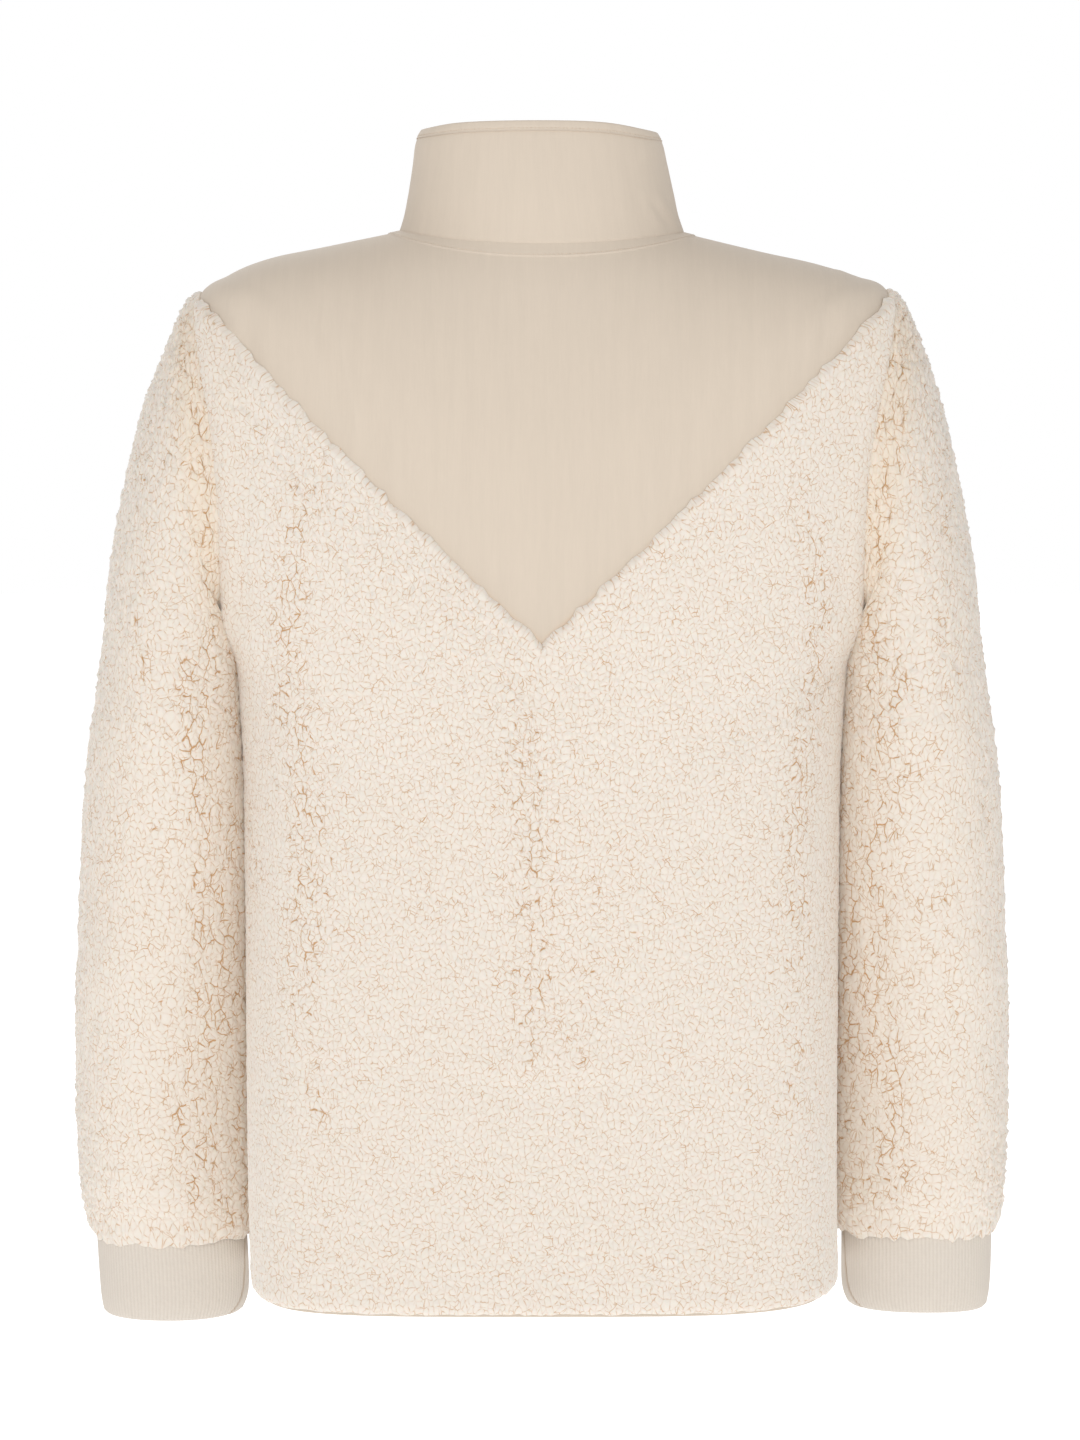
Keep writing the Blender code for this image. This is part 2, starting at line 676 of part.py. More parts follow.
def front_panel(seams, side):
    """One front, from the band's edge round to the side seam."""
    right = joined(seams.side, armhole_points(seams.turns_front))
    left = spaced(seams.band_low, length_shares(right))
    grid = patch(left, right, seams.hem_front, seams.v_front_run)
    rows = len(seams.side) - 1
    height = PILE * pile_shares(grid, (True, True), rows)
    base, out, height = body_panel(grid, height, slice(rows, None))
    base = seamed(base, ((0, 0), (0, 1), (1, 1)))
    wall("front_" + SIDES[side], "pile", mirrored(base, side),
         mirrored(base + out * height, side))
    return base[:, :2], out[:, :2]


def tube(surface, normal, turns, shares):
    turn, share = np.meshgrid(turns, shares, indexing="ij")
    return surface(turn, share), normal(turn, share)


def end_gap(base, end, amount=SEAM_GAP):
    """Shortens a tube at one end."""
    edge, inner = (0, 1) if end == 0 else (-1, -2)
    base[:, edge] += unit(base[:, inner] - base[:, edge]) * amount
    return base


def sleeve(seams, side):
    turns = seams.sleeve_turns()
    base, out = tube(sleeve_point, sleeve_normal, turns, np.array(SLEEVE_LINES))
    out[:, 0] = armhole_direction(turns)
    out[:, -1] = cuff_direction(turns)
    height = np.full(base.shape[:2], PILE)
    height[:, :2] = PILE * SEAM_SHARE, PILE * SECOND_SHARE
    height[:, -1] = PILE * CUFF_END_SHARE
    by_ring = [np.swapaxes(grid, 0, 1) for grid in (base, out, height)]
    crease(*by_ring, out[:, 0])
    base = end_gap(end_gap(base, 0), 1)
    outer = base + out * height[..., None]
    wall("sleeve_" + SIDES[side], "pile", mirrored(base, side), mirrored(outer, side), True)


def open_tube(shape, rings):
    """Adds an open tube through rings of points to shape, and returns its end loops' edges."""
    made = [[shape.verts.new(p) for p in ring] for ring in rings]
    for low, high in zip(made, made[1:]):
        for i in range(len(low)):
            j = (i + 1) % len(low)
            shape.faces.new((low[i], low[j], high[j], high[i]))
    ends = []
    for ring in (made[0], made[-1]):
        pairs = zip(ring, ring[1:] + ring[:1])
        ends.append([shape.edges.get(pair) for pair in pairs])
    return ends


def cuff(side):
    """Ribbed cuff: ribs raised on the outside, over a plain inside."""
    shares = np.array([0, 0.22, 0.78, 1.0])
    points = CUFF_RIBS * 2
    fine = np.linspace(0, 2 * math.pi, points, endpoint=False)
    plain = np.linspace(0, 2 * math.pi, CUFF_INNER_SIDES, endpoint=False)
    height = np.where(np.arange(points) % 2 == 0, RIB_CREST, RIB_VALLEY)
    outer, out = tube(cuff_point, cuff_normal, fine, shares)
    out[:, 0] = cuff_direction(fine)
    outer = end_gap(outer, 0) + out * height[:, None, None]
    inner, _ = tube(cuff_point, cuff_normal, plain, shares[[0, 1, 3]])
    inner = end_gap(inner, 0)
    shape = bmesh.new()
    outer_ends = open_tube(shape, settled(np.swapaxes(mirrored(outer, side), 0, 1)) * MM)
    inner_ends = open_tube(shape, settled(np.swapaxes(mirrored(inner, side), 0, 1)) * MM)
    for pair in zip(outer_ends, inner_ends):
        bmesh.ops.bridge_loops(shape, edges=pair[0] + pair[1])
    mesh = bpy.data.meshes.new("cuff")
    shape.to_mesh(mesh)
    shape.free()
    finish_mesh("cuff_" + SIDES[side], "rib", mesh)


def collar_angles(seams):
    """Angles round the collar, from band edge to band edge, at the neck seam's points."""
    front, back = seams.neck_front[:, 0], seams.neck_back[::-1, 0]
    half = np.concatenate([front[:1], front[3:], back[1:]])
    return np.concatenate([half, math.pi - half[-2::-1]])


def collar(seams):
    angles = collar_angles(seams)
    shares = np.array([*COLLAR_LINES, BINDING_START])
    base, out = tube(collar_point, collar_normal, angles, shares)
    out[:, 0] = neck_direction(angles)
    base = keep_beside_band(end_gap(end_gap(base, 0), 1))
    outer = keep_beside_band(base + out * COLLAR_CLOTH)
    wall("collar", "woven", base, outer)


def keep_beside_band(points):
    """Moves a collar's two front ends to the line beside the front band."""
    points[0, :, 0] = BAND_HALF + SEAM_GAP
    points[-1, :, 0] = -BAND_HALF - SEAM_GAP
    return points


def collar_binding(seams):
    """Folded strip round the collar's top edge, a little thicker than the collar."""
    angles = collar_angles(seams)
    shares, inward, thick = np.array(BINDING).T
    base, out = tube(collar_point, collar_normal, angles, shares)
    base = end_gap(base, 0) + out * inward[None, :, None]
    outer = keep_beside_band(base + out * thick[None, :, None])
    wall("collar_binding", "woven", keep_beside_band(base), outer)


def hem_facing(front_rows, back_rows):
    """Woven tape inside the hem, on the panels' own points, showing as a thin edge below."""
    (front, front_out), (back, back_out) = front_rows, back_rows
    points = np.concatenate([front[:-1], (front[-1:] + back[-1:]) / 2, back[-2::-1]])
    out = np.concatenate([front_out, back_out[-2::-1]])
    points = np.concatenate([points, mirrored(points[-2::-1], -1)])
    out = np.concatenate([out, mirrored(out[-2::-1], -1)])
    drop = np.array([0, 0, -HEM_FACING_DROP])
    points = np.stack([points[:, 1], points[:, 0], points[:, 0] + drop], axis=1)
    out = np.stack([out[:, 1], out[:, 0], out[:, 0]], axis=1)
    outer = points - out * FACING_GAP
    wall("hem_facing", "woven", outer - out * FACING, outer)


def band_line(shares, x):
    """Points and normals up the centre front, over the body and then the collar."""
    body_levels = np.interp(shares, [0, BAND_NECK_SHARE], [1.0, 0.0])
    points, out = [], []
    for share, level in zip(shares, body_levels):
        if share <= BAND_NECK_SHARE:
            angle = math.copysign(1, x) * (line_angle(level, abs(x)) + math.pi / 2) - math.pi / 2
            points.append(body_point(angle, level))
            out.append(body_normal(angle, np.float64(level)))
        else:
            up = (share - BAND_NECK_SHARE) / (1 - BAND_NECK_SHARE)
            half_width = smooth_rows([row[1:] for row in COLLAR],
                                     [row[0] for row in COLLAR], up)[0]
            angle = math.asin(x / half_width) - math.pi / 2
            points.append(collar_point(angle, up))
            out.append(collar_normal(angle, np.float64(up)))
    return np.array(points), np.array(out)


def band(name, start, cloth):
    """A front band of folded cloth, one of two that lie on each other."""
    below_neck = np.linspace(0, BAND_NECK_SHARE - 0.02, BAND_BODY_LINES)
    shares = np.concatenate([below_neck, [BAND_NECK_SHARE, *BAND_COLLAR_SHARES]])
    xs = np.array([-1, 0.001, 1]) * (BAND_HALF - 2 * SEAM_GAP)
    lines = [band_line(shares, x) for x in xs]
    base = np.array([points for points, _ in lines])
    out = np.array([directions for _, directions in lines])
    neck = BAND_BODY_LINES
    out[:, neck] = unit(out[:, neck - 1] + out[:, neck + 1])
    out[..., 0] = 0
    out = unit(out)
    base[..., 0] = xs[:, None]
    low = base + out * start
    wall(name, "woven", low, low + out * cloth)
    return low + out * cloth, out


def button_places(face, out):
    """Each button's place on the band's middle line, and the way it faces."""
    heights = BUTTON_TOP_Z - BUTTON_STEP * np.arange(BUTTON_COUNT)
    line, facing = face[1], out[1]
    point = [np.interp(heights, line[:, 2], line[:, k]) for k in range(3)]
    way = [np.interp(heights, line[:, 2], facing[:, k]) for k in range(3)]
    return np.stack(point, axis=-1), unit(np.stack(way, axis=-1))


def stand_on(points, place, way):
    """Turns points with +Z outward so that they stand on a place, facing its way."""
    side = np.array([1.0, 0.0, 0.0])
    upward = np.cross(way, side)
    return place + points @ np.array([side, upward, way])


def disc(radius, rings, sides):
    """Points of a turned shape: (share of the radius, height) for each ring."""
    turns = np.linspace(0, 2 * math.pi, sides, endpoint=False)
    around = np.stack([np.cos(turns), np.sin(turns)], axis=-1)
    return [np.concatenate([around * radius * share, np.full((sides, 1), height)], axis=-1)
            for share, height in rings]


def turned(shape, rings):
    """Adds a closed solid through rings of points, with its two ends filled."""
    made = [[shape.verts.new(p) for p in ring] for ring in rings]
    for low, high in zip(made, made[1:]):
        for i in range(len(low)):
            j = (i + 1) % len(low)
            shape.faces.new((low[i], low[j], high[j], high[i]))
    shape.faces.new(made[0])
    shape.faces.new(made[-1])


def buttons(face, out):
    """Four-hole buttons, each a turned disc with a raised rim."""
    holes = bmesh.new()
    for index, (place, way) in enumerate(zip(*button_places(face, out))):
        place = place + way * SEAM_GAP * 2
        shape = bmesh.new()
        rings = disc(BUTTON_RADIUS, BUTTON_RINGS, BUTTON_SIDES)
        turned(shape, [settled(stand_on(ring, place, way)) * MM for ring in rings])
        mesh = bpy.data.meshes.new("button")
        shape.to_mesh(mesh)
        shape.free()
        obj = finish_mesh(f"button_{index + 1}", "button", mesh)
        cut = obj.modifiers.new("holes", "BOOLEAN")
        cut.operation = "DIFFERENCE"
        cut.solver = "EXACT"
        for dx in (-1, 1):
            for dy in (-1, 1):
                at = np.array([dx, dy, 0]) * BUTTON_HOLE_SPREAD
                rings = disc(BUTTON_HOLE_RADIUS, ((1, -1), (1, BUTTON_THICK + 1)), 6)
                turned(holes, [settled(stand_on(ring + at, place, way)) * MM
                               for ring in rings])
    bmesh.ops.recalc_face_normals(holes, faces=holes.faces)
    mesh = bpy.data.meshes.new("button_holes")
    holes.to_mesh(mesh)
    holes.free()
    cutter = bpy.data.objects.new("button_holes", mesh)
    cutter.display_type = "WIRE"
    cutter.hide_render = True
    CUTTERS.objects.link(cutter)
    for obj in PART.objects:
        for modifier in obj.modifiers:
            modifier.object = cutter


def main():
    seams = Seams()
    back_rows = back_panel(seams)
    back_yoke(seams)
    for side in (1, -1):
        front_yoke(seams, side)
        front_rows = front_panel(seams, side)
        sleeve(seams, side)
        cuff(side)
    collar(seams)
    collar_binding(seams)
    hem_facing(front_rows, back_rows)
    band("band_under", BAND_GAP, BAND_CLOTH)
    face, out = band("band_top", BAND_GAP * 2 + BAND_CLOTH, BAND_CLOTH)
    buttons(face, out)


SIDES = {1: "left", -1: "right"}
clear_scene()
PART = bpy.data.collections.new("button_front_top")
bpy.context.scene.collection.children.link(PART)
CUTTERS = bpy.data.collections.new("cutters")
bpy.context.scene.collection.children.link(CUTTERS)
main()
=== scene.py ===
import math

import bmesh
import bpy
import numpy as np
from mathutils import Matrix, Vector


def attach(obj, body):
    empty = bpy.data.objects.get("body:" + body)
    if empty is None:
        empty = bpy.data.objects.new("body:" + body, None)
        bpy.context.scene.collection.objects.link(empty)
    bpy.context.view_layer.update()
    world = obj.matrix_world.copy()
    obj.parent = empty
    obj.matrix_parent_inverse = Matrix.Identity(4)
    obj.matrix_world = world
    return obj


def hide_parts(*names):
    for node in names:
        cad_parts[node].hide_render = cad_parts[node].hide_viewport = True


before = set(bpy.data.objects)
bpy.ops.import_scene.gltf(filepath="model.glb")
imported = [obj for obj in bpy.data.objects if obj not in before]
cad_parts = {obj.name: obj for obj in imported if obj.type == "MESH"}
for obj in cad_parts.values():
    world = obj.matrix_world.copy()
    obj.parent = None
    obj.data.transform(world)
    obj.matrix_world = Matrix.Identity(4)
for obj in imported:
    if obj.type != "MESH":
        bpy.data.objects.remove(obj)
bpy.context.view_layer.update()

# Camera, light and floor.
# The photograph looks square at the back from slightly above, through a long lens.
CAMERA_Y, CAMERA_Z = 3.02, 0.06
TILT = math.radians(7.36)
LENS_MM, SENSOR_MM, SIDE_SHIFT = 111.5, 36, -0.0014
scene = bpy.context.scene
camera = bpy.data.objects.new("camera", bpy.data.cameras.new("camera"))
scene.collection.objects.link(camera)
camera.data.sensor_fit = "VERTICAL"
camera.data.sensor_height = SENSOR_MM
camera.data.lens = LENS_MM
camera.data.shift_x = SIDE_SHIFT
camera.location = (0, CAMERA_Y, CAMERA_Z)
looking = Vector((0, -math.cos(TILT), -math.sin(TILT)))
camera.rotation_euler = looking.to_track_quat("-Z", "Y").to_euler()
scene.camera = camera
scene.view_settings.view_transform = "Standard"
scene.view_settings.look = "None"

SKY_LIGHT, SKY_SEEN = 0.63, 1.0
world = bpy.data.worlds.new("studio")
scene.world = world
world.use_nodes = True
sky = world.node_tree.nodes["Background"]
sky.inputs["Color"].default_value = (1, 1, 1, 1)
path = world.node_tree.nodes.new("ShaderNodeLightPath")
level = world.node_tree.nodes.new("ShaderNodeMapRange")
level.inputs["To Min"].default_value = SKY_LIGHT
level.inputs["To Max"].default_value = SKY_SEEN
world.node_tree.links.new(path.outputs["Is Camera Ray"], level.inputs["Value"])
world.node_tree.links.new(level.outputs["Result"], sky.inputs["Strength"])


def softbox(name, place, target, size, watts):
    """A square studio light that faces a point."""
    lamp = bpy.data.objects.new(name, bpy.data.lights.new(name, "AREA"))
    lamp.data.size = size
    lamp.data.energy = watts
    lamp.location = place
    aim = Vector(target) - Vector(place)
    lamp.rotation_euler = aim.to_track_quat("-Z", "Y").to_euler()
    scene.collection.objects.link(lamp)
    return lamp


lights = [
    softbox("key", (1.1, 2.4, 1.3), (0, 0, -0.3), 1.4, 15.5),
    softbox("fill", (-1.6, 2.2, 0.2), (0, 0, -0.35), 1.6, 6.3),
    softbox("square", (0.1, 2.9, 0.5), (0, 0, -0.35), 1.2, 8),
    softbox("front", (0.6, -2.6, 1.2), (0, 0, -0.35), 1.6, 15),
]

FLOOR_Z, FLOOR_REACH, FLOOR_GLOW = -1.15, 9, 0.52
floor_mesh = bpy.data.meshes.new("floor")
corners = [(x * FLOOR_REACH, y * FLOOR_REACH, FLOOR_Z)
           for x, y in ((-1, -1), (1, -1), (1, 1), (-1, 1))]
floor_mesh.from_pydata(corners, [], [(0, 1, 2, 3)])
floor = bpy.data.objects.new("floor", floor_mesh)
scene.collection.objects.link(floor)
floor_finish = bpy.data.materials.new("floor_finish")
floor_finish.use_nodes = True
floor_shader = floor_finish.node_tree.nodes["Principled BSDF"]
floor_shader.inputs["Base Color"].default_value = (0.93, 0.93, 0.93, 1)
floor_shader.inputs["Roughness"].default_value = 0.9
floor_shader.inputs["Emission Color"].default_value = (1, 1, 1, 1)
floor_shader.inputs["Emission Strength"].default_value = FLOOR_GLOW
floor_mesh.materials.append(floor_finish)

# Back, in curly pile.
# The real piece is a knitted backing with curled pile about 6 mm deep, cut in one with a V
# taken out of its top, and sewn to the yoke, the fronts and the sleeves. Its surface is a
# function of the angle round the wearer and the level from the neck to the hem.
MM = 0.001
BODY = (
    # level, half_width, back_y, front_y, side_z, back_z, front_z, square, arch
    (0.00, 93.5, 76, -80, 0, -5.5, -76, 2.0, 2.2),
    (0.05, 116, 89, -97, -5, -30, -96, 2.0, 2.8),
    (0.12, 151, 103, -112, -12.5, -70, -128, 2.05, 3.4),
    (0.19, 184, 112, -121, -19, -108, -160, 2.1, 3.8),
    (0.25, 210, 117, -125, -27, -138, -188, 2.1, 4.0),
    (0.30, 228, 119, -127, -37, -165, -212, 2.1, 4.0),
    (0.35, 240, 120, -128, -74, -192, -234, 2.1, 4.0),
    (0.40, 243.5, 120, -128, -114, -219, -258, 2.1, 4.0),
    (0.46, 240, 120, -128, -162, -252, -286, 2.15, 4.0),
    (0.52, 229, 119, -127, -212, -288, -318, 2.25, 4.0),
    (0.56, 218, 119, -127, -246, -312, -338, 2.35, 4.0),
    (0.60, 205, 119, -126, -278, -338, -360, 2.45, 4.0),
    (0.66, 198.5, 119, -125, -332, -383, -400, 2.65, 4.0),
    (0.75, 195.5, 119, -125, -430, -458, -470, 3.0, 4.0),
    (0.87, 194.5, 120, -125, -570, -578, -581, 3.6, 4.0),
    (1.00, 194, 121, -125, -712, -712, -712, 4.2, 4.0),
)
# Soft folds round the body: angle in degrees, top and bottom height, width in degrees, height
BODY_FOLDS = (
    (41, -250, -700, 9, 2.6),
    (139, -230, -700, 10, 2.4),
    (66, -300, -640, 12, -2.2),
    (116, -320, -690, 11, -2.6),
    (90, -300, -560, 7, 1.6),
    (-38, -250, -700, 10, 2.6),
    (-143, -250, -690, 10, 2.8),
    (-62, -330, -700, 11, -2.4),
    (-119, -300, -640, 12, -2.2),
)
FOLD_FADE = 70.0
# Creases on the body: x, y side, height, length, width, slant in degrees, depth
BODY_CREASES = (
    (188, 1, -276, 60, 11, 38, 2.6),
    (172, 1, -268, 52, 9, 42, -2.2),
    (-190, 1, -300, 66, 12, -34, 2.4),
    (-170, 1, -286, 48, 9, -40, -1.8),
    (-20, 1, -540, 150, 12, 92, 0.9),
    (60, 1, -556, 120, 10, 86, -0.9),
    (186, -1, -282, 58, 11, 36, 2.4),
    (-186, -1, -292, 60, 12, -38, 2.6),
    (-96, -1, -470, 110, 12, 80, 1.0),
    (70, -1, -520, 130, 12, 98, -1.0),
)
# The uneven hang: centre x and z, reach in x and z, shift in x and z
HANG = (
    (240, -55, 90, 60, 0, -1.5),
    (236, -26, 30, 16, 0, -4.0),
    (-240, -55, 90, 60, -3.2, 1.5),
    (170, -15, 70, 60, 0, 1.6),
    (-170, -15, 70, 60, 0, -2.4),
    (-215, -22, 40, 30, 0, -2.6),
    (-78, 74, 24, 16, 0, -3.4),
    (78, 76, 16, 12, 0, -1.8),
    (0, 70, 140, 50, 2.6, 0),
    (-260, -740, 90, 70, -3.1, 4.0),
    (260, -740, 90, 70, -3.1, -2.0),
)
ARMHOLE_TOP, ARMHOLE_BOTTOM = 0.30, 0.60
ARMHOLE_BACK, ARMHOLE_FRONT = 30.0, 31.0
V_TIP_Z, V_SLOPE, V_CURVE = -267.0, 0.895, 0.0004
BAND_HALF = 16.0
SEAM_GAP = 0.17
PILE = 6.0
BACK_COLUMNS, BACK_ROWS = 152, 300
INNER_STEP = 4  # the plain inside has every fourth line


def smooth_rows(table, keys, at):
    """Every column of table at the given keys, on one smooth curve through the rows."""
    rows = np.array(table, float)
    keys = np.array(keys, float)
    at = np.clip(np.asarray(at, float), keys[0], keys[-1])
    slope = np.gradient(rows, keys, axis=0)
    i = np.clip(np.searchsorted(keys, at, side="right") - 1, 0, len(keys) - 2)
    step = (keys[i + 1] - keys[i])[..., None]
    t = ((at - keys[i]) / (keys[i + 1] - keys[i]))[..., None]
    a, b = rows[i], rows[i + 1]
    return (a * (1 + 2 * t) * (1 - t) ** 2 + slope[i] * step * t * (1 - t) ** 2
            + b * t * t * (3 - 2 * t) + slope[i + 1] * step * t * t * (t - 1))


def ring_point(row, angle):
    """A point of a body or collar ring at an angle in radians."""
    half_width, back_y, front_y, side_z, back_z, front_z, square, arch = np.moveaxis(row, -1, 0)
    c, s = np.cos(angle), np.sin(angle)
    reach = (np.abs(c) ** square + np.abs(s) ** square) ** (-1 / square)
    share = np.clip(np.abs(s) * reach, 0, 1)
    end_z = np.where(s > 0, back_z, front_z)
    x = half_width * c * reach
    y = np.where(s > 0, back_y, -front_y) * s * reach
    return np.stack([x, y, side_z + (end_z - side_z) * share ** arch], axis=-1)


def ridges(points, table, sway=2.5, every=17):
    """Height of listed puckers and creases on a surface. Each sways as it runs."""
    x, z = points[..., 0], points[..., 2]
    height = np.zeros(x.shape)
    for centre_x, way, centre_z, length, width, slant, amount in table:
        lean = math.radians(slant)
        dx, dz = x - centre_x, z - centre_z
        run = dx * math.sin(lean) + dz * math.cos(lean)
        off = dx * math.cos(lean) - dz * math.sin(lean) - sway * np.sin(run / every + centre_x)
        height += (points[..., 1] * way > 0) * amount * np.exp(-(run / length) ** 4
                                                               - (off / width) ** 2)
    return height


def body_fold(angle, point):
    """Height of the body's soft folds and creases."""
    turn = np.degrees(angle)
    z = point[..., 2]
    height = ridges(point, BODY_CREASES, 6, 31)
    for centre, top_z, bottom_z, width, amount in BODY_FOLDS:
        away = (turn - centre + 180) % 360 - 180
        ends = 1 / (1 + np.exp((z - top_z) / (FOLD_FADE / 4)))
        ends = ends / (1 + np.exp((bottom_z - z) / (FOLD_FADE / 4)))
        height += amount * np.exp(-(away / width) ** 2) * ends
    return height


def body_point(angle, level):
    """The body's cloth surface at an angle in radians and a level from neck to hem."""
    angle, level = np.broadcast_arrays(np.asarray(angle, float), np.asarray(level, float))
    keys = [row[0] for row in BODY]
    point = ring_point(smooth_rows([row[1:] for row in BODY], keys, level), angle)
    lift = body_fold(angle, point)
    outward = np.stack([np.cos(angle) * 0.75, np.sin(angle), np.zeros_like(angle)], axis=-1)
    return point + outward * lift[..., None]


def unit(vectors):
    return vectors / np.maximum(np.linalg.norm(vectors, axis=-1, keepdims=True), 1e-12)


def normal_of(surface, u, v, outward):
    step = 1e-3
    across = surface(u + step, v) - surface(u - step, v)
    along = surface(u, v + step) - surface(u, v - step)
    return unit(np.cross(across, along)) * outward


def body_normal(angle, level):
    return normal_of(body_point, angle, np.clip(level, 0.001, 0.999), -1)


def armhole(turn):
    """(angle, level) on the armhole at a turn in radians: 0 at the shoulder, positive behind."""
    reach = np.where(np.sin(turn) > 0, ARMHOLE_BACK, ARMHOLE_FRONT)
    middle = (ARMHOLE_TOP + ARMHOLE_BOTTOM) / 2
    half = (ARMHOLE_BOTTOM - ARMHOLE_TOP) / 2
    return np.radians(reach) * np.sin(turn), middle - half * np.cos(turn)


def armhole_run(start, stop):
    return np.stack(armhole(np.linspace(start, stop, 200)), axis=-1)


def solve(function, low, high):
    """Where a function that changes sign between low and high is zero, by halving."""
    low_value = function(low)
    for _ in range(50):
        middle = (low + high) / 2
        if (function(middle) > 0) == (low_value > 0):
            low = middle
        else:
            high = middle
    return (low + high) / 2


def above_v(point):
    x = abs(point[..., 0])
    return point[..., 2] - (V_TIP_Z + V_SLOPE * x + V_CURVE * x * x)


def v_end(sign):
    def miss(turn):
        return float(above_v(body_point(*armhole(np.float64(sign * turn)))))
    return solve(miss, 0.15, 1.2) * sign


def v_level(angle):
    return solve(lambda level: float(above_v(body_point(angle, level))), 0.05, 0.62)


def line_angle(level, x):
    """The angle, on the front, of the line that stays x from the centre."""
    def miss(angle):
        return float(body_point(angle, level)[..., 0]) - x
    return solve(miss, math.radians(-90), math.radians(-60))


def length_shares(points):
    place = body_point(points[:, 0], points[:, 1])
    steps = np.linalg.norm(np.diff(place, axis=0), axis=1)
    return np.concatenate([[0], np.cumsum(steps)]) / steps.sum()


def spaced(points, count):
    """(angle, level) points evenly along a run, one more than count."""
    length = length_shares(points)
    shares = np.linspace(0, 1, count + 1)
    return np.stack([np.interp(shares, length, points[:, k]) for k in (0, 1)], axis=-1)


def straight(start, stop):
    return np.stack([np.linspace(start[k], stop[k], 200) for k in (0, 1)], axis=-1)


def v_run(start_angle, end_turn):
    """The V seam from the centre, or the band's edge, to the armhole."""
    end = armhole(np.float64(end_turn))
    angles = np.linspace(start_angle, float(end[0]), 60)
    levels = [v_level(a) for a in angles[:-1]]
    return np.stack([angles, levels + [float(end[1])]], axis=-1)


def front_edge(start_level, stop_level):
    levels = np.linspace(start_level, stop_level, 40)
    return np.array([(line_angle(one, BAND_HALF), one) for one in levels])


def patch(left, right, bottom, top, columns, rows):
    """(angle, level) of a fine grid between four edges, given from the bottom or the left."""
    l, r = spaced(left, rows)[None], spaced(right, rows)[None]
    b, t = spaced(bottom, columns)[:, None], spaced(top, columns)[:, None]
    p = np.linspace(0, 1, columns + 1)[:, None, None]
    q = np.linspace(0, 1, rows + 1)[None, :, None]
    return ((1 - p) * l + p * r + (1 - q) * b + q * t
            - (1 - p) * (1 - q) * b[:1] - p * (1 - q) * b[-1:]
            - (1 - p) * q * t[:1] - p * q * t[-1:])


def settled(points):
    """The small, slow shifts by which the real top hangs unevenly."""
    x, z = points[..., 0], points[..., 2]
    moved = points.copy()
    for centre_x, centre_z, radius_x, radius_z, shift_x, shift_z in HANG:
        near = np.exp(-((x - centre_x) / radius_x) ** 2 - ((z - centre_z) / radius_z) ** 2)
        moved[..., 0] += shift_x * near
        moved[..., 2] += shift_z * near
    return moved


def mirrored(points, side):
    return points * np.array([side, 1, 1])


def both_halves(points, flip=True):
    """A half grid that starts at the centre line, with its mirror image before it."""
    other = mirrored(points[:0:-1], -1) if flip else points[:0:-1]
    return np.concatenate([other, points])


def coarse(count, closed=False):
    """Every INNER_STEP-th line number, and always the last."""
    if closed:
        return list(range(0, count, INNER_STEP))
    lines = list(range(0, count - 1, INNER_STEP))
    return lines + [count - 1]


def run_length(points, axis):
    """Distance along a grid from its first line."""
    steps = np.linalg.norm(np.diff(points, axis=axis), axis=-1)
    zero = np.zeros_like(np.take(steps, [0], axis=axis))
    return np.concatenate([zero, np.cumsum(steps, axis=axis)], axis=axis)


def laid_flat(points, start=0):
    """Where a grid's points lie on the cloth, in metres: across from its line start, and up."""
    across = run_length(points * np.array([1, 1, 0]), 0)
    across = across - across[start:start + 1]
    return np.stack([across, points[..., 2], across * 0], axis=-1) * MM


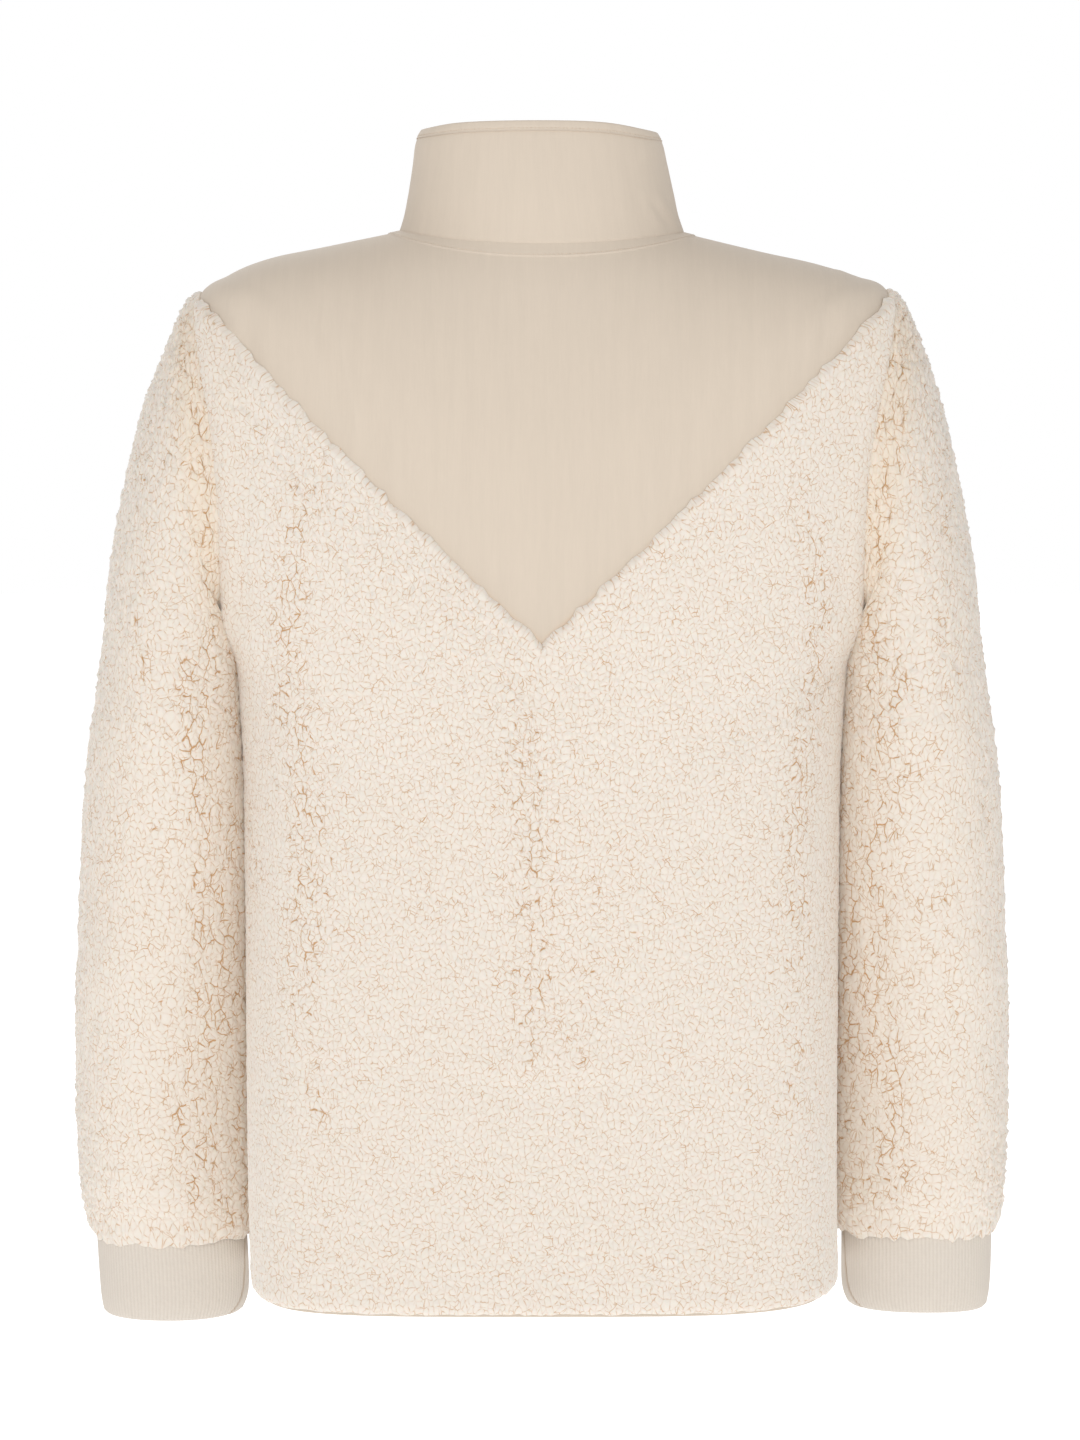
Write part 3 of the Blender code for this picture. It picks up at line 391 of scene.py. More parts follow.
def slab(name, base, outer, finishes, closed=False, data=None, uv=None):
    """One closed piece of cloth: a fine outside, a plain coarse inside and a rim.

    base and outer are grids of points in millimetres. closed joins the first axis into a
    ring. data holds grids that become point attributes of the outside.
    """
    count, rows = base.shape[:2]
    columns, lines = coarse(count, closed), coarse(rows)
    inner = base[np.ix_(columns, lines)]
    points = np.concatenate([outer.reshape(-1, 3), inner.reshape(-1, 3)])
    start = count * rows
    wide, high = len(columns), len(lines)
    faces, kinds = [], []
    span = count if closed else count - 1

    def on_outer(i, j):
        return (i % count) * rows + j

    def on_inner(a, b):
        return start + (a % wide) * high + b

    for i in range(span):
        for j in range(rows - 1):
            faces.append((on_outer(i, j), on_outer(i + 1, j), on_outer(i + 1, j + 1),
                          on_outer(i, j + 1)))
    kinds += [0] * len(faces)
    inner_span = wide if closed else wide - 1
    for a in range(inner_span):
        for b in range(high - 1):
            faces.append((on_inner(a, b + 1), on_inner(a + 1, b + 1), on_inner(a + 1, b),
                          on_inner(a, b)))
    for a in range(inner_span):
        first = columns[a]
        last = columns[a + 1] if a + 1 < wide else count
        for j, b in ((0, 0), (rows - 1, high - 1)):
            fine = [on_outer(i, j) for i in range(first, last + 1)]
            rim = [on_inner(a, b), on_inner(a + 1, b)] + fine[::-1]
            faces.append(rim if j == 0 else rim[::-1])
    if not closed:
        for b in range(high - 1):
            for i, a in ((0, 0), (count - 1, wide - 1)):
                fine = [on_outer(i, j) for j in range(lines[b], lines[b + 1] + 1)]
                rim = [on_inner(a, b), on_inner(a, b + 1)] + fine[::-1]
                faces.append(rim[::-1] if i == 0 else rim)
    kinds += [1] * (len(faces) - len(kinds))
    mesh = bpy.data.meshes.new(name)
    mesh.from_pydata([tuple(p) for p in settled(points) * MM], [], faces)
    for finish in finishes:
        mesh.materials.append(finish)
    mesh.polygons.foreach_set("material_index", np.minimum(kinds, len(finishes) - 1))
    for key, grid in (data or {}).items():
        vector = grid.ndim == 3
        kind = "FLOAT_VECTOR" if vector else "FLOAT"
        held = mesh.attributes.new(key, kind, "POINT")
        whole = np.concatenate([grid.reshape(start, -1),
                                (grid * 0)[np.ix_(columns, lines)].reshape(wide * high, -1)])
        held.data.foreach_set("vector" if vector else "value", whole.astype(np.float32).ravel())
    if uv is not None:
        whole = np.concatenate([uv.reshape(-1, 2), uv[np.ix_(columns, lines)].reshape(-1, 2)])
        corners = np.empty(len(mesh.loops), np.int32)
        mesh.loops.foreach_get("vertex_index", corners)
        mesh.uv_layers.new(name="UVMap").data.foreach_set("uv", whole[corners].ravel())
    mesh.shade_smooth()
    shape = bmesh.new()
    shape.from_mesh(mesh)
    bmesh.ops.recalc_face_normals(shape, faces=shape.faces)
    for edge in shape.edges:  # the outside's rim is shaded apart from it
        edge.smooth = len({face.material_index for face in edge.link_faces}) == 1
    shape.to_mesh(mesh)
    shape.free()
    obj = bpy.data.objects.new(name, mesh)
    scene.collection.objects.link(obj)
    return obj


def node(tree, kind, links=None, **settings):
    """A node with its settings, and its inputs linked or set by name or number."""
    made = tree.nodes.new(kind)
    for key, value in settings.items():
        setattr(made, key, value)
    for key, value in (links or {}).items():
        socket = made.inputs[key]
        if isinstance(value, bpy.types.NodeSocket):
            tree.links.new(value, socket)
        else:
            socket.default_value = value
    return made


def maths(tree, operation, *values):
    return node(tree, "ShaderNodeMath", dict(enumerate(values)), operation=operation).outputs[0]


def ramp(tree, value, low, high, start=0.0, stop=1.0):
    """value from low to high, smoothly as start to stop."""
    made = node(tree, "ShaderNodeMapRange", {"Value": value}, interpolation_type="SMOOTHSTEP")
    for key, number in (("From Min", low), ("From Max", high), ("To Min", start),
                        ("To Max", stop)):
        made.inputs[key].default_value = number
    return made.outputs["Result"]


def noise(tree, place, scale, detail=2.0, output="Fac"):
    return node(tree, "ShaderNodeTexNoise",
                {"Vector": place, "Scale": scale, "Detail": detail}).outputs[output]


def vectors(tree, operation, *values):
    return node(tree, "ShaderNodeVectorMath", dict(enumerate(values)),
                operation=operation).outputs[0]


def scaled(tree, vector, by):
    return node(tree, "ShaderNodeVectorMath", {0: vector, "Scale": by},
                operation="SCALE").outputs[0]


def warped(tree, place, scale, amount):
    """place, moved about by a noise by up to half of amount, in metres."""
    shift = noise(tree, place, scale, 1.0, "Color")
    shift = vectors(tree, "SUBTRACT", shift, (0.5, 0.5, 0.5))
    return vectors(tree, "ADD", place, scaled(tree, shift, amount))


def cells(tree, place, scale):
    """Distance to the nearest edge between cells, as a share of a cell's size."""
    return node(tree, "ShaderNodeTexVoronoi", {"Vector": place, "Scale": scale},
                voronoi_dimensions="2D", feature="DISTANCE_TO_EDGE").outputs["Distance"]


CURLS, TUFTS, PARTINGS = 275.0, 140.0, 165.0  # how many fit in a metre


def pile_relief(tree, place, crack):
    """Curled pile at a place: its height, how far it lies in a parting, and up a curl.

    place is in metres, across and up. crack is how strongly the pile has parted there, from 0
    to 1. The same nodes move the mesh and shade it. fine_line runs round each curl, branch
    round each tuft, and deep is the partings, which run mostly down.
    """
    moved = warped(tree, warped(tree, place, 60.0, 0.008), 300.0, 0.0019)
    small = cells(tree, vectors(tree, "MULTIPLY", moved, (1.0, 0.80, 1.0)), CURLS)
    middle = cells(tree, moved, TUFTS)
    gaps = cells(tree, vectors(tree, "MULTIPLY", moved, (1.0, 0.64, 1.0)), PARTINGS)
    streak = noise(tree, vectors(tree, "MULTIPLY", moved, (1.0, 0.22, 1.0)), 250.0, 1.0)
    patchy = noise(tree, place, 60.0)
    broken = noise(tree, place, 330.0, 1.0)
    uneven = noise(tree, place, 130.0)
    fine_line = maths(tree, "SUBTRACT", 1.0, ramp(tree, small, 0.01, 0.10))
    fine_line = maths(tree, "MULTIPLY", fine_line, ramp(tree, broken, 0.42, 0.62, 0.17, 0.76))
    branch = maths(tree, "SUBTRACT", 1.0, ramp(tree, middle, 0.006, 0.05))
    near = maths(tree, "MULTIPLY_ADD", crack, 0.06, patchy)
    branch = maths(tree, "MULTIPLY", branch, ramp(tree, near, 0.48, 0.62, 0.0, 0.95))
    branch = maths(tree, "MULTIPLY", branch, ramp(tree, uneven, 0.44, 0.56, 0.0, 1.0))
    deep = maths(tree, "SUBTRACT", 1.0, ramp(tree, gaps, 0.012, 0.085))
    deep = maths(tree, "MULTIPLY", deep, ramp(tree, streak, 0.44, 0.56, 0.1, 1.0))
    opened = maths(tree, "ADD", crack, maths(tree, "MULTIPLY_ADD", uneven, 1.8, -0.9))
    deep = maths(tree, "MULTIPLY", deep, ramp(tree, opened, 0.38, 0.80))
    line = maths(tree, "MAXIMUM", maths(tree, "MAXIMUM", fine_line, branch), deep)
    knob = ramp(tree, small, 0.0, 0.42)
    dome = ramp(tree, middle, 0.0, 0.40)
    tuft = noise(tree, moved, 230.0, 3.0)
    height = maths(tree, "MULTIPLY_ADD", dome, 0.12, maths(tree, "MULTIPLY", knob, 0.16))
    height = maths(tree, "MULTIPLY_ADD", tuft, 0.86, height)
    height = maths(tree, "SUBTRACT", height, maths(tree, "MULTIPLY", deep, 0.35))
    return height, line, knob


RELIEF_MM = 2.6  # from the deepest parting to the highest curl
RELIEF_MIDDLE = 0.58

grow_tree = bpy.data.node_groups.new("grow_pile", "GeometryNodeTree")
grow_tree.interface.new_socket("Geometry", in_out="INPUT", socket_type="NodeSocketGeometry")
grow_size = grow_tree.interface.new_socket("Relief", in_out="INPUT", socket_type="NodeSocketFloat")
grow_finish = grow_tree.interface.new_socket("Finish", in_out="INPUT",
                                             socket_type="NodeSocketMaterial")
grow_tree.interface.new_socket("Geometry", in_out="OUTPUT", socket_type="NodeSocketGeometry")


def attribute(tree, key, kind="FLOAT"):
    made = node(tree, "GeometryNodeInputNamedAttribute", {"Name": key}, data_type=kind)
    return made.outputs["Attribute"]


into = node(grow_tree, "NodeGroupInput")
rest = scaled(grow_tree, attribute(grow_tree, "rest", "FLOAT_VECTOR"),
              attribute(grow_tree, "fineness"))
curl, _, _ = pile_relief(grow_tree, rest, attribute(grow_tree, "crack"))
lift = maths(grow_tree, "MULTIPLY", maths(grow_tree, "SUBTRACT", curl, RELIEF_MIDDLE),
             into.outputs["Relief"])
lift = maths(grow_tree, "MULTIPLY", lift, attribute(grow_tree, "grow"))
offset = scaled(grow_tree, attribute(grow_tree, "out", "FLOAT_VECTOR"), lift)
raised = node(grow_tree, "GeometryNodeSetPosition",
              {"Geometry": into.outputs["Geometry"], "Offset": offset})
index = node(grow_tree, "GeometryNodeInputMaterialIndex").outputs[0]  # 0 on the outside
real = node(grow_tree, "GeometryNodeRealizeInstances", {"Geometry": raised.outputs["Geometry"]})
done = node(grow_tree, "GeometryNodeSetMaterial",
            {"Geometry": real.outputs["Geometry"], "Material": into.outputs["Finish"],
             "Selection": maths(grow_tree, "SUBTRACT", 1.0, index)})
node(grow_tree, "NodeGroupOutput", {"Geometry": done.outputs["Geometry"]})


def plain_mesh(obj):
    """Turns an object's evaluated shape into its own plain mesh, with no modifier left."""
    graph = bpy.context.evaluated_depsgraph_get()
    mesh = bpy.data.meshes.new_from_object(obj.evaluated_get(graph), preserve_all_data_layers=True,
                                           depsgraph=graph)
    obj.modifiers.clear()
    mesh.name = obj.name
    obj.data = mesh
    return obj


def grown(obj):
    """Raises the pile of a piece with the group, as a plain mesh."""
    modifier = obj.modifiers.new("pile", "NODES")
    modifier.node_group = grow_tree
    modifier[grow_size.identifier] = RELIEF_MM * MM
    modifier[grow_finish.identifier] = pile
    return plain_mesh(obj)


def painted(tree, key, output="Fac"):
    """What a point attribute says, in a material."""
    return node(tree, "ShaderNodeAttribute", attribute_name=key).outputs[output]


def blend(tree, factor, low, high):
    """A colour from low to high, each a socket or red, green, blue and alpha."""
    return node(tree, "ShaderNodeMix", {"Factor": factor, 6: low, 7: high},
                data_type="RGBA").outputs[2]


def new_finish(name, colour=None):
    """A material with its tree and its shader."""
    made = bpy.data.materials.new(name)
    made.use_nodes = True
    shader = made.node_tree.nodes["Principled BSDF"]
    if colour:
        shader.inputs["Base Color"].default_value = colour
    return made, made.node_tree, shader


def set_plain(shader, **values):
    """Sets values that are the same all over, named with _ for a space."""
    for key, value in values.items():
        shader.inputs[key.replace("_", " ")].default_value = value


def raise_bump(tree, shader, height, strength, distance):
    bump = node(tree, "ShaderNodeBump",
                {"Height": height, "Strength": strength, "Distance": distance})
    tree.links.new(bump.outputs["Normal"], shader.inputs["Normal"])


CREAM, CREAM_DEEPER = (0.766, 0.710, 0.642, 1), (0.753, 0.691, 0.617, 1)
# Painted shade: a deeper, warmer cream for pile that lies beside the body or a sleeve, and a tan
# for the pile's partings and the hollows between its curls.
SHADED, PARTING_SHADE = (0.75, 0.635, 0.50, 1), (0.50, 0.27, 0.105, 1)


def pile_finish():
    """Cream curled pile: pale on the curls, with painted shade in tan where it has parted and in
    the hollows between the curls, and in a deeper cream beside the body and the sleeves.
    """
    made, tree, shader = new_finish("pile")
    place = scaled(tree, painted(tree, "rest", "Vector"), painted(tree, "fineness"))
    height, line, knob = pile_relief(tree, place, painted(tree, "crack"))
    # A random mottle between two creams, the pile's own colour.
    shade = blend(tree, noise(tree, place, 22.0), CREAM, CREAM_DEEPER)
    # Painted shade: the cream goes deeper where the pile lies beside the body or a sleeve, then
    # tan in the partings and in the hollows between the curls.
    with_painted_shade = blend(tree, painted(tree, "tint_and_shade"), shade, SHADED)
    parted = maths(tree, "MAXIMUM", maths(tree, "MULTIPLY", line, 0.94),
                   ramp(tree, knob, 0.0, 0.8, 0.07, 0.0))
    tree.links.new(blend(tree, parted, with_painted_shade, PARTING_SHADE), shader.inputs["Base Color"])
    fibre = noise(tree, place, 1500.0)
    raise_bump(tree, shader, maths(tree, "MULTIPLY_ADD", fibre, 0.12, height), 0.30, 0.0016)
    set_plain(shader, Roughness=0.95, Specular_IOR_Level=0.15, Sheen_Weight=0.5,
              Sheen_Roughness=0.5, Sheen_Tint=(1.0, 0.97, 0.93, 1), Subsurface_Weight=0.12,
              Subsurface_Radius=(1.0, 0.55, 0.35), Subsurface_Scale=0.004)
    return made


def backing_finish():
    """The knitted backing and turned edges, seen from inside: fine knit courses."""
    made, tree, shader = new_finish("backing", (0.74, 0.66, 0.56, 1))
    place = node(tree, "ShaderNodeTexCoord").outputs["Object"]
    knit = node(tree, "ShaderNodeTexWave", {"Vector": place, "Scale": 110.0, "Distortion": 1.5},
                bands_direction="Z").outputs["Fac"]
    raise_bump(tree, shader, knit, 0.3, 0.0008)
    set_plain(shader, Roughness=0.9)
    return made


pile = pile_finish()
backing = backing_finish()

# Where the pile has parted most, as columns on the back: x, top and bottom z, half width, share
BACK_PARTS = (
    (158, -150, -520, 16, 1.0),
    (150, -330, -640, 12, 0.7),
    (-172, -160, -480, 13, 1.0),
    (-160, -380, -620, 12, 0.6),
    (8, -290, -560, 22, 0.8),
    (-30, -380, -600, 26, 0.5),
    (60, -300, -470, 26, 0.35),
    (196, -300, -640, 8, 0.8),
    (-196, -300, -640, 8, 0.8),
)
FRONT_PARTS = (
    (150, -200, -560, 15, 0.9),
    (-162, -180, -520, 15, 1.0),
    (74, -330, -600, 20, 0.5),
    (-66, -300, -540, 20, 0.5),
    (196, -300, -640, 8, 0.8),
    (-196, -300, -640, 8, 0.8),
)


def parting(points, table):
    """How strongly the pile has parted at each point, from listed columns."""
    x, z = points[..., 0], points[..., 2]
    found = np.zeros(x.shape)
    for centre, top_z, bottom_z, half_width, share in table:
        wander = 7 * np.sin(z / 47 + centre)
        ends = 1 / (1 + np.exp((z - top_z) / 16)) / (1 + np.exp((bottom_z - z) / 16))
        near = np.exp(-((x - centre - wander) / half_width) ** 2)
        found = np.maximum(found, share * near * ends)
    return found


def rounded(distance, low, reach):
    """Height share at a distance from an edge: low at the edge, full from reach on."""
    t = np.clip(distance / reach, 0, 1)
    return low + (1 - low) * np.sqrt(1 - (1 - t) ** 2)


def edge_distances(points):
    """Distance to the first and last line of both axes of a grid."""
    across, up = run_length(points, 0), run_length(points, 1)
    return across, across[-1:] - across, up, up[:, -1:] - up


PILE_NAMES = ("rest", "out", "grow", "crack", "fineness", "tint_and_shade")


def pile_panel(name, side, points, flat, shares, fineness, lean, closed=False):
    """A pile piece. points holds its backing's points and normals, flat the same points laid
    flat, and shares its height, growth, parting, and its tint with painted shade. lean moves
    the outside sideways."""
    base, out = (mirrored(grid, side) for grid in points)
    height, grow, crack, tint_and_shade = shares
    outer = base + out * height[..., None] + mirrored(lean, side)
    data = dict(zip(PILE_NAMES, (flat, out, grow, crack, np.full(grow.shape, fineness), tint_and_shade)))
    return grown(slab(name, base, outer, [pile, backing], closed, data))


centre = math.radians(90)
V_BACK, V_FRONT = v_end(1), v_end(-1)
V_TIP = v_level(centre)
v_back_run = v_run(centre, V_BACK)
side_seam = straight((0, 1), (0, ARMHOLE_BOTTOM))
back_grid = patch(straight((centre, 1), (centre, V_TIP)),
                  np.concatenate([side_seam, armhole_run(math.pi, V_BACK)[1:]]),
                  straight((centre, 1), (0, 1)), v_back_run, BACK_COLUMNS, BACK_ROWS)


def body_grid(grid):
    return body_point(grid[..., 0], grid[..., 1]), body_normal(grid[..., 0], grid[..., 1])


def armhole_nip(points):
    """How near a body panel's point is to the armhole, as a height share."""
    line = body_point(*armhole(np.linspace(0, 2 * math.pi, 240)))
    flat = points.reshape(-1, 3)
    best = np.full(len(flat), 1e9)
    for one in line:
        best = np.minimum(best, ((flat - one) ** 2).sum(1))
    away = np.sqrt(best).reshape(points.shape[:2])
    return rounded(away, 0.84, 6.0) * (1 + 0.26 * np.exp(-((away - 9) / 9) ** 2))


def lean_over(points, out, distance, reach, amount):
    """Sideways shift of the outside over the last line of the second axis."""
    along = unit(np.gradient(points[:, -1], axis=0))
    away = unit(np.cross(along, out[:, -1]))
    away = away * np.sign((away * (points[:, -1] - points[:, -6])).sum(-1, keepdims=True))
    share = np.clip(1 - distance / reach, 0, 1) ** 1.5
    return away[:, None] * (share * amount)[..., None]


V_REACH, V_SHARE = 5.0, 0.30
V_OVERHANG, ARMHOLE_OVERHANG, HEM_OVERHANG = 3.0, 2.6, 1.8


def lumps(count, seed):
    """Small uneven steps along an edge, between -1 and 1."""
    rough = np.random.default_rng(seed).uniform(-1, 1, count // 3 + 3)
    return np.interp(np.arange(count) / 3, np.arange(len(rough)), rough)


def pile_edges(base, out, seed, band=False):
    """Height, growth and lean of a body panel, rounded at its seams and its hem."""
    band_away, side_away, hem_away, v_away = edge_distances(base)
    shares = [rounded(v_away, V_SHARE, V_REACH), rounded(hem_away, 0.45, 7.0),
              armhole_nip(base), rounded(side_away, 0.8, 5.0)]
    if band:
        shares.append(rounded(band_away, 0.45, 6.0))
    share = np.minimum.reduce(shares[:2] + shares[3:]) * shares[2]
    rough = lumps(base.shape[0], seed)[:, None, None]
    lean = lean_over(base, out, v_away, 7.0, V_OVERHANG) * (1 + 0.55 * rough)
    turned = [np.swapaxes(grid, 0, 1) for grid in (base, out, side_away)]
    rough = lumps(base.shape[1], seed + 2)[None, :, None]
    sideways = np.swapaxes(lean_over(*turned, 7.0, ARMHOLE_OVERHANG), 0, 1)
    lean = lean + sideways * (1 + 0.45 * rough)
    rough = lumps(base.shape[0], seed + 1)[:, None]
    hem_share = np.clip(1 - hem_away / 8, 0, 1) * (1 + 0.4 * rough)
    lean = lean + np.array([0, 0, -HEM_OVERHANG]) * hem_share[..., None]
    return PILE * share, np.clip(share, 0.35, 1), lean


def side_tint_and_shade(base):
    """How far the body's pile goes towards a deeper cream: a little all over, and more at the
    side seams, which is painted shade where the body meets the sleeves.
    """
    return 0.04 + 0.10 * np.clip((np.abs(base[..., 0]) - 184) / 16, 0, 1)


base, out = body_grid(back_grid)
height, grow, lean = pile_edges(base, out, 3)
_, _, lean_other = pile_edges(base, out, 11)
side_reach = np.clip((base[..., 0] - 180) / 14, 0, 1)
height = height + 1.4 * side_reach * np.clip((-235 - base[..., 2]) / 40, 0, 1)
tint_and_shade = side_tint_and_shade(base)
flat = both_halves(laid_flat(base))
lean = np.concatenate([mirrored(lean_other, -1)[:0:-1], lean])
base, out = both_halves(base), both_halves(out)
height, grow, tint_and_shade = (both_halves(grid, False) for grid in (height, grow, tint_and_shade))
back = pile_panel("back_pile", 1, (base, out), flat,
                  (height, grow, parting(base, BACK_PARTS), tint_and_shade), 1.0, lean)
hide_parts("back")
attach(back, "root")

# Fronts, in the same pile.
# Two mirrored panels sewn to the front bands, the front yokes, the sleeves and the back. The
# photograph doesn't show them, so they follow the back's cloth and folds.
FRONT_COLUMNS, FRONT_ROWS = 138, 268


def band_above_v(level):
    return float(above_v(body_point(line_angle(level, BAND_HALF), level)))


low_level = solve(band_above_v, 0.1, 0.6)
band_low, band_high = front_edge(1, low_level), front_edge(low_level, 0)
v_front_run = v_run(band_low[-1][0], V_FRONT)
front_grid = patch(band_low, np.concatenate([side_seam, armhole_run(-math.pi, V_FRONT)[1:]]),
                   straight(band_low[0], (0, 1)), v_front_run, FRONT_COLUMNS, FRONT_ROWS)
for side, label in ((1, "left"), (-1, "right")):
    base, out = body_grid(front_grid)
    height, grow, lean = pile_edges(base, out, 5 + side, True)
    crack = parting(mirrored(base, side), FRONT_PARTS)
    flat = laid_flat(base) + 0.3 * (side + 2)  # so that the two sides differ
    front = pile_panel("front_pile_" + label, side, (base, out), flat,
                       (height, grow, crack, side_tint_and_shade(base)), 1.0, lean)
    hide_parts("front_" + label)
    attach(front, "root")

# Back yoke, in smooth woven cloth.
# A plain V of beige woven cloth, cut in one with a piece that runs over both shoulders. It is
# sewn to the back, the sleeves, the front yokes and the collar, and topstitched below the neck.
WOVEN = 1.5
STRIP_WIDTH, STRIP_RISE = 9.6, 0.75  # the seam allowance that is stitched down below the neck
STRIP_LINES = (12.4, 11.2, 10.5, 10.0, 9.6, 9.2, 8.6, 7.8, 6.5, 5.0, 3.4, 1.8, 0.8, 0.0)
YOKE_COLUMNS, YOKE_ROWS = 92, 104
THREAD_PITCH = 0.0007  # metres between the weave's threads
STRIP_JOIN_X = 34.0  # where the strip is joined
STITCH_LENGTH, STITCH_PITCH, STITCH_THICK = 1.9, 2.7, 0.42
shoulder = math.radians(-7.0)  # the shoulder seam lies a little in front
# Puckers: x, y side, height, length, width, slant in degrees, rise
YOKE_PUCKERS = (
    (-196, 1, -42, 20, 4.0, -8, 1.04),
    (-187, 1, -48, 22, 3.5, -12, -0.95),
    (-178, 1, -50, 24, 4.0, -10, 1.14),
    (-166, 1, -62, 26, 4.5, -14, -0.85),
    (-150, 1, -78, 26, 4.5, -16, 0.85),
    (204, 1, -52, 16, 4.0, 10, 0.85),
    (190, 1, -62, 20, 4.0, 12, -0.85),
    (150, 1, -66, 34, 5.0, 6, 0.66),
    (138, 1, -80, 42, 5.5, 8, -0.95),
    (126, 1, -92, 40, 5.0, 4, 0.95),
    (112, 1, -108, 46, 5.5, 9, -0.76),
    (98, 1, -126, 40, 5.0, 5, 0.85),
    (84, 1, -140, 40, 5.5, 8, -0.66),
    (60, 1, -172, 34, 6.0, 6, 0.57),
    (-70, 1, -168, 36, 6.0, -7, 0.57),
    (-96, 1, -140, 40, 6.0, -6, -0.57),
    (24, 1, -120, 90, 26, 3, 0.95),
    (-40, 1, -110, 80, 30, -4, -0.95),
    (60, -1, -130, 40, 6.0, -6, 0.95),
    (92, -1, -120, 44, 6.0, -8, -0.95),
    (-74, -1, -134, 42, 6.0, 7, 0.95),
    (-104, -1, -112, 40, 6.0, 9, -0.76),
    (150, -1, -84, 30, 5.5, -12, 0.95),
    (-146, -1, -90, 30, 5.5, 12, 0.95),
)


def neck_level(angle, distance):
    """The body's level at a distance below the neck seam."""
    step = np.linalg.norm(body_point(angle, 0.004) - body_point(angle, 0.0), axis=-1) / 0.004
    return distance / step


def below_neck(angles, distance):
    return np.stack([angles, neck_level(angles, distance)], axis=-1)


def with_strip(grid):
    """Adds close lines for the topstitched strip to a yoke's grid, up to the neck seam."""
    lines = [below_neck(grid[:, -1, 0], distance) for distance in STRIP_LINES[1:]]
    return np.concatenate([grid, np.stack(lines, axis=1)], axis=1)


def strip_height(grid):
    """Extra height of the strip at each point of a yoke's grid."""
    angle, level = grid[..., 0], grid[..., 1]
    distance = level / neck_level(angle, np.ones_like(angle))
    t = np.clip((STRIP_WIDTH + 0.5 - distance) / 0.9, 0, 1)
    rise = STRIP_RISE * t * t * (3 - 2 * t)
    groove = np.exp(-((distance - STRIP_WIDTH + 1.3) / 0.5) ** 2) * 0.25
    return rise - groove


def flat_uv(points, middle=0):
    """UV in metres over a grid, from lengths along its lines."""
    across, up = run_length(points, 0), run_length(points, 1)
    across = across - across[middle:middle + 1]
    return np.stack([across.mean(1, keepdims=True) + across * 0, up], axis=-1) * MM


def threads(tree, along, pitch):
    """A wave from -1 to 1 at every pitch along a cloth."""
    return maths(tree, "SINE", maths(tree, "MULTIPLY", along, 2 * math.pi / pitch))


def weave(tree, place):
    """Fine plain weave from metres across a cloth: its height, and slow uneven streaks."""
    parts = node(tree, "ShaderNodeSeparateXYZ", {"Vector": place})
    height = maths(tree, "MULTIPLY", threads(tree, parts.outputs["X"], THREAD_PITCH),
                   threads(tree, parts.outputs["Y"], THREAD_PITCH))
    long_way = node(tree, "ShaderNodeMapping", {"Vector": place, "Scale": (1.0, 0.07, 1.0)})
    slub = noise(tree, long_way.outputs[0], 900.0, 3.0)
    wide = noise(tree, long_way.outputs[0], 160.0)
    return height, slub, wide


def woven_finish(name, colour, streak):
    """Smooth woven cloth with faint streaks along its length, and painted shade in tan beside the
    pile.
    """
    made, tree, shader = new_finish(name)
    place = node(tree, "ShaderNodeUVMap", uv_map="UVMap").outputs["UV"]
    height, slub, wide = weave(tree, place)
    level = maths(tree, "ADD", ramp(tree, slub, 0.25, 0.75, -streak, streak),
                  ramp(tree, wide, 0.3, 0.7, -streak, streak))
    level = maths(tree, "ADD", level, maths(tree, "MULTIPLY", height, 0.012))
    tint = node(tree, "ShaderNodeHueSaturation", {"Color": (*colour, 1),
                                                  "Value": maths(tree, "ADD", level, 1.0)})
    with_painted_shade = blend(tree, painted(tree, "pile_shadow"), tint.outputs["Color"], PILE_SHADOW_TAN)
    tree.links.new(with_painted_shade, shader.inputs["Base Color"])
    soft = noise(tree, place, 38.0, 3.0)
    relief = maths(tree, "MULTIPLY_ADD", height, 0.05, maths(tree, "MULTIPLY", slub, 0.30))
    relief = maths(tree, "MULTIPLY_ADD", soft, 0.9, relief)
    raise_bump(tree, shader, relief, 0.25, 0.0012)
    set_plain(shader, Roughness=0.72, Specular_IOR_Level=0.3, Sheen_Weight=0.12)
    return made


# Painted shade: the tan that the woven cloth takes close beside the pile's edge, under its
# overhang.
PILE_SHADOW_TAN = (0.68, 0.52, 0.38, 1)
woven = woven_finish("woven", (0.630, 0.540, 0.443), 0.010)
woven_inside = woven_finish("woven_inside", (0.61, 0.52, 0.43), 0.014)


def thread_finish():
    """Matte sewing thread, a little deeper than the cloth."""
    made, tree, shader = new_finish("thread")
    place = node(tree, "ShaderNodeTexCoord").outputs["Object"]
    grain = noise(tree, place, 900.0, 1.0)
    tint = node(tree, "ShaderNodeHueSaturation",
                {"Color": (0.64, 0.52, 0.41, 1), "Value": ramp(tree, grain, 0.3, 0.7, 0.9, 1.1)})
    tree.links.new(tint.outputs["Color"], shader.inputs["Base Color"])
    set_plain(shader, Roughness=0.6)
    return made


thread = thread_finish()


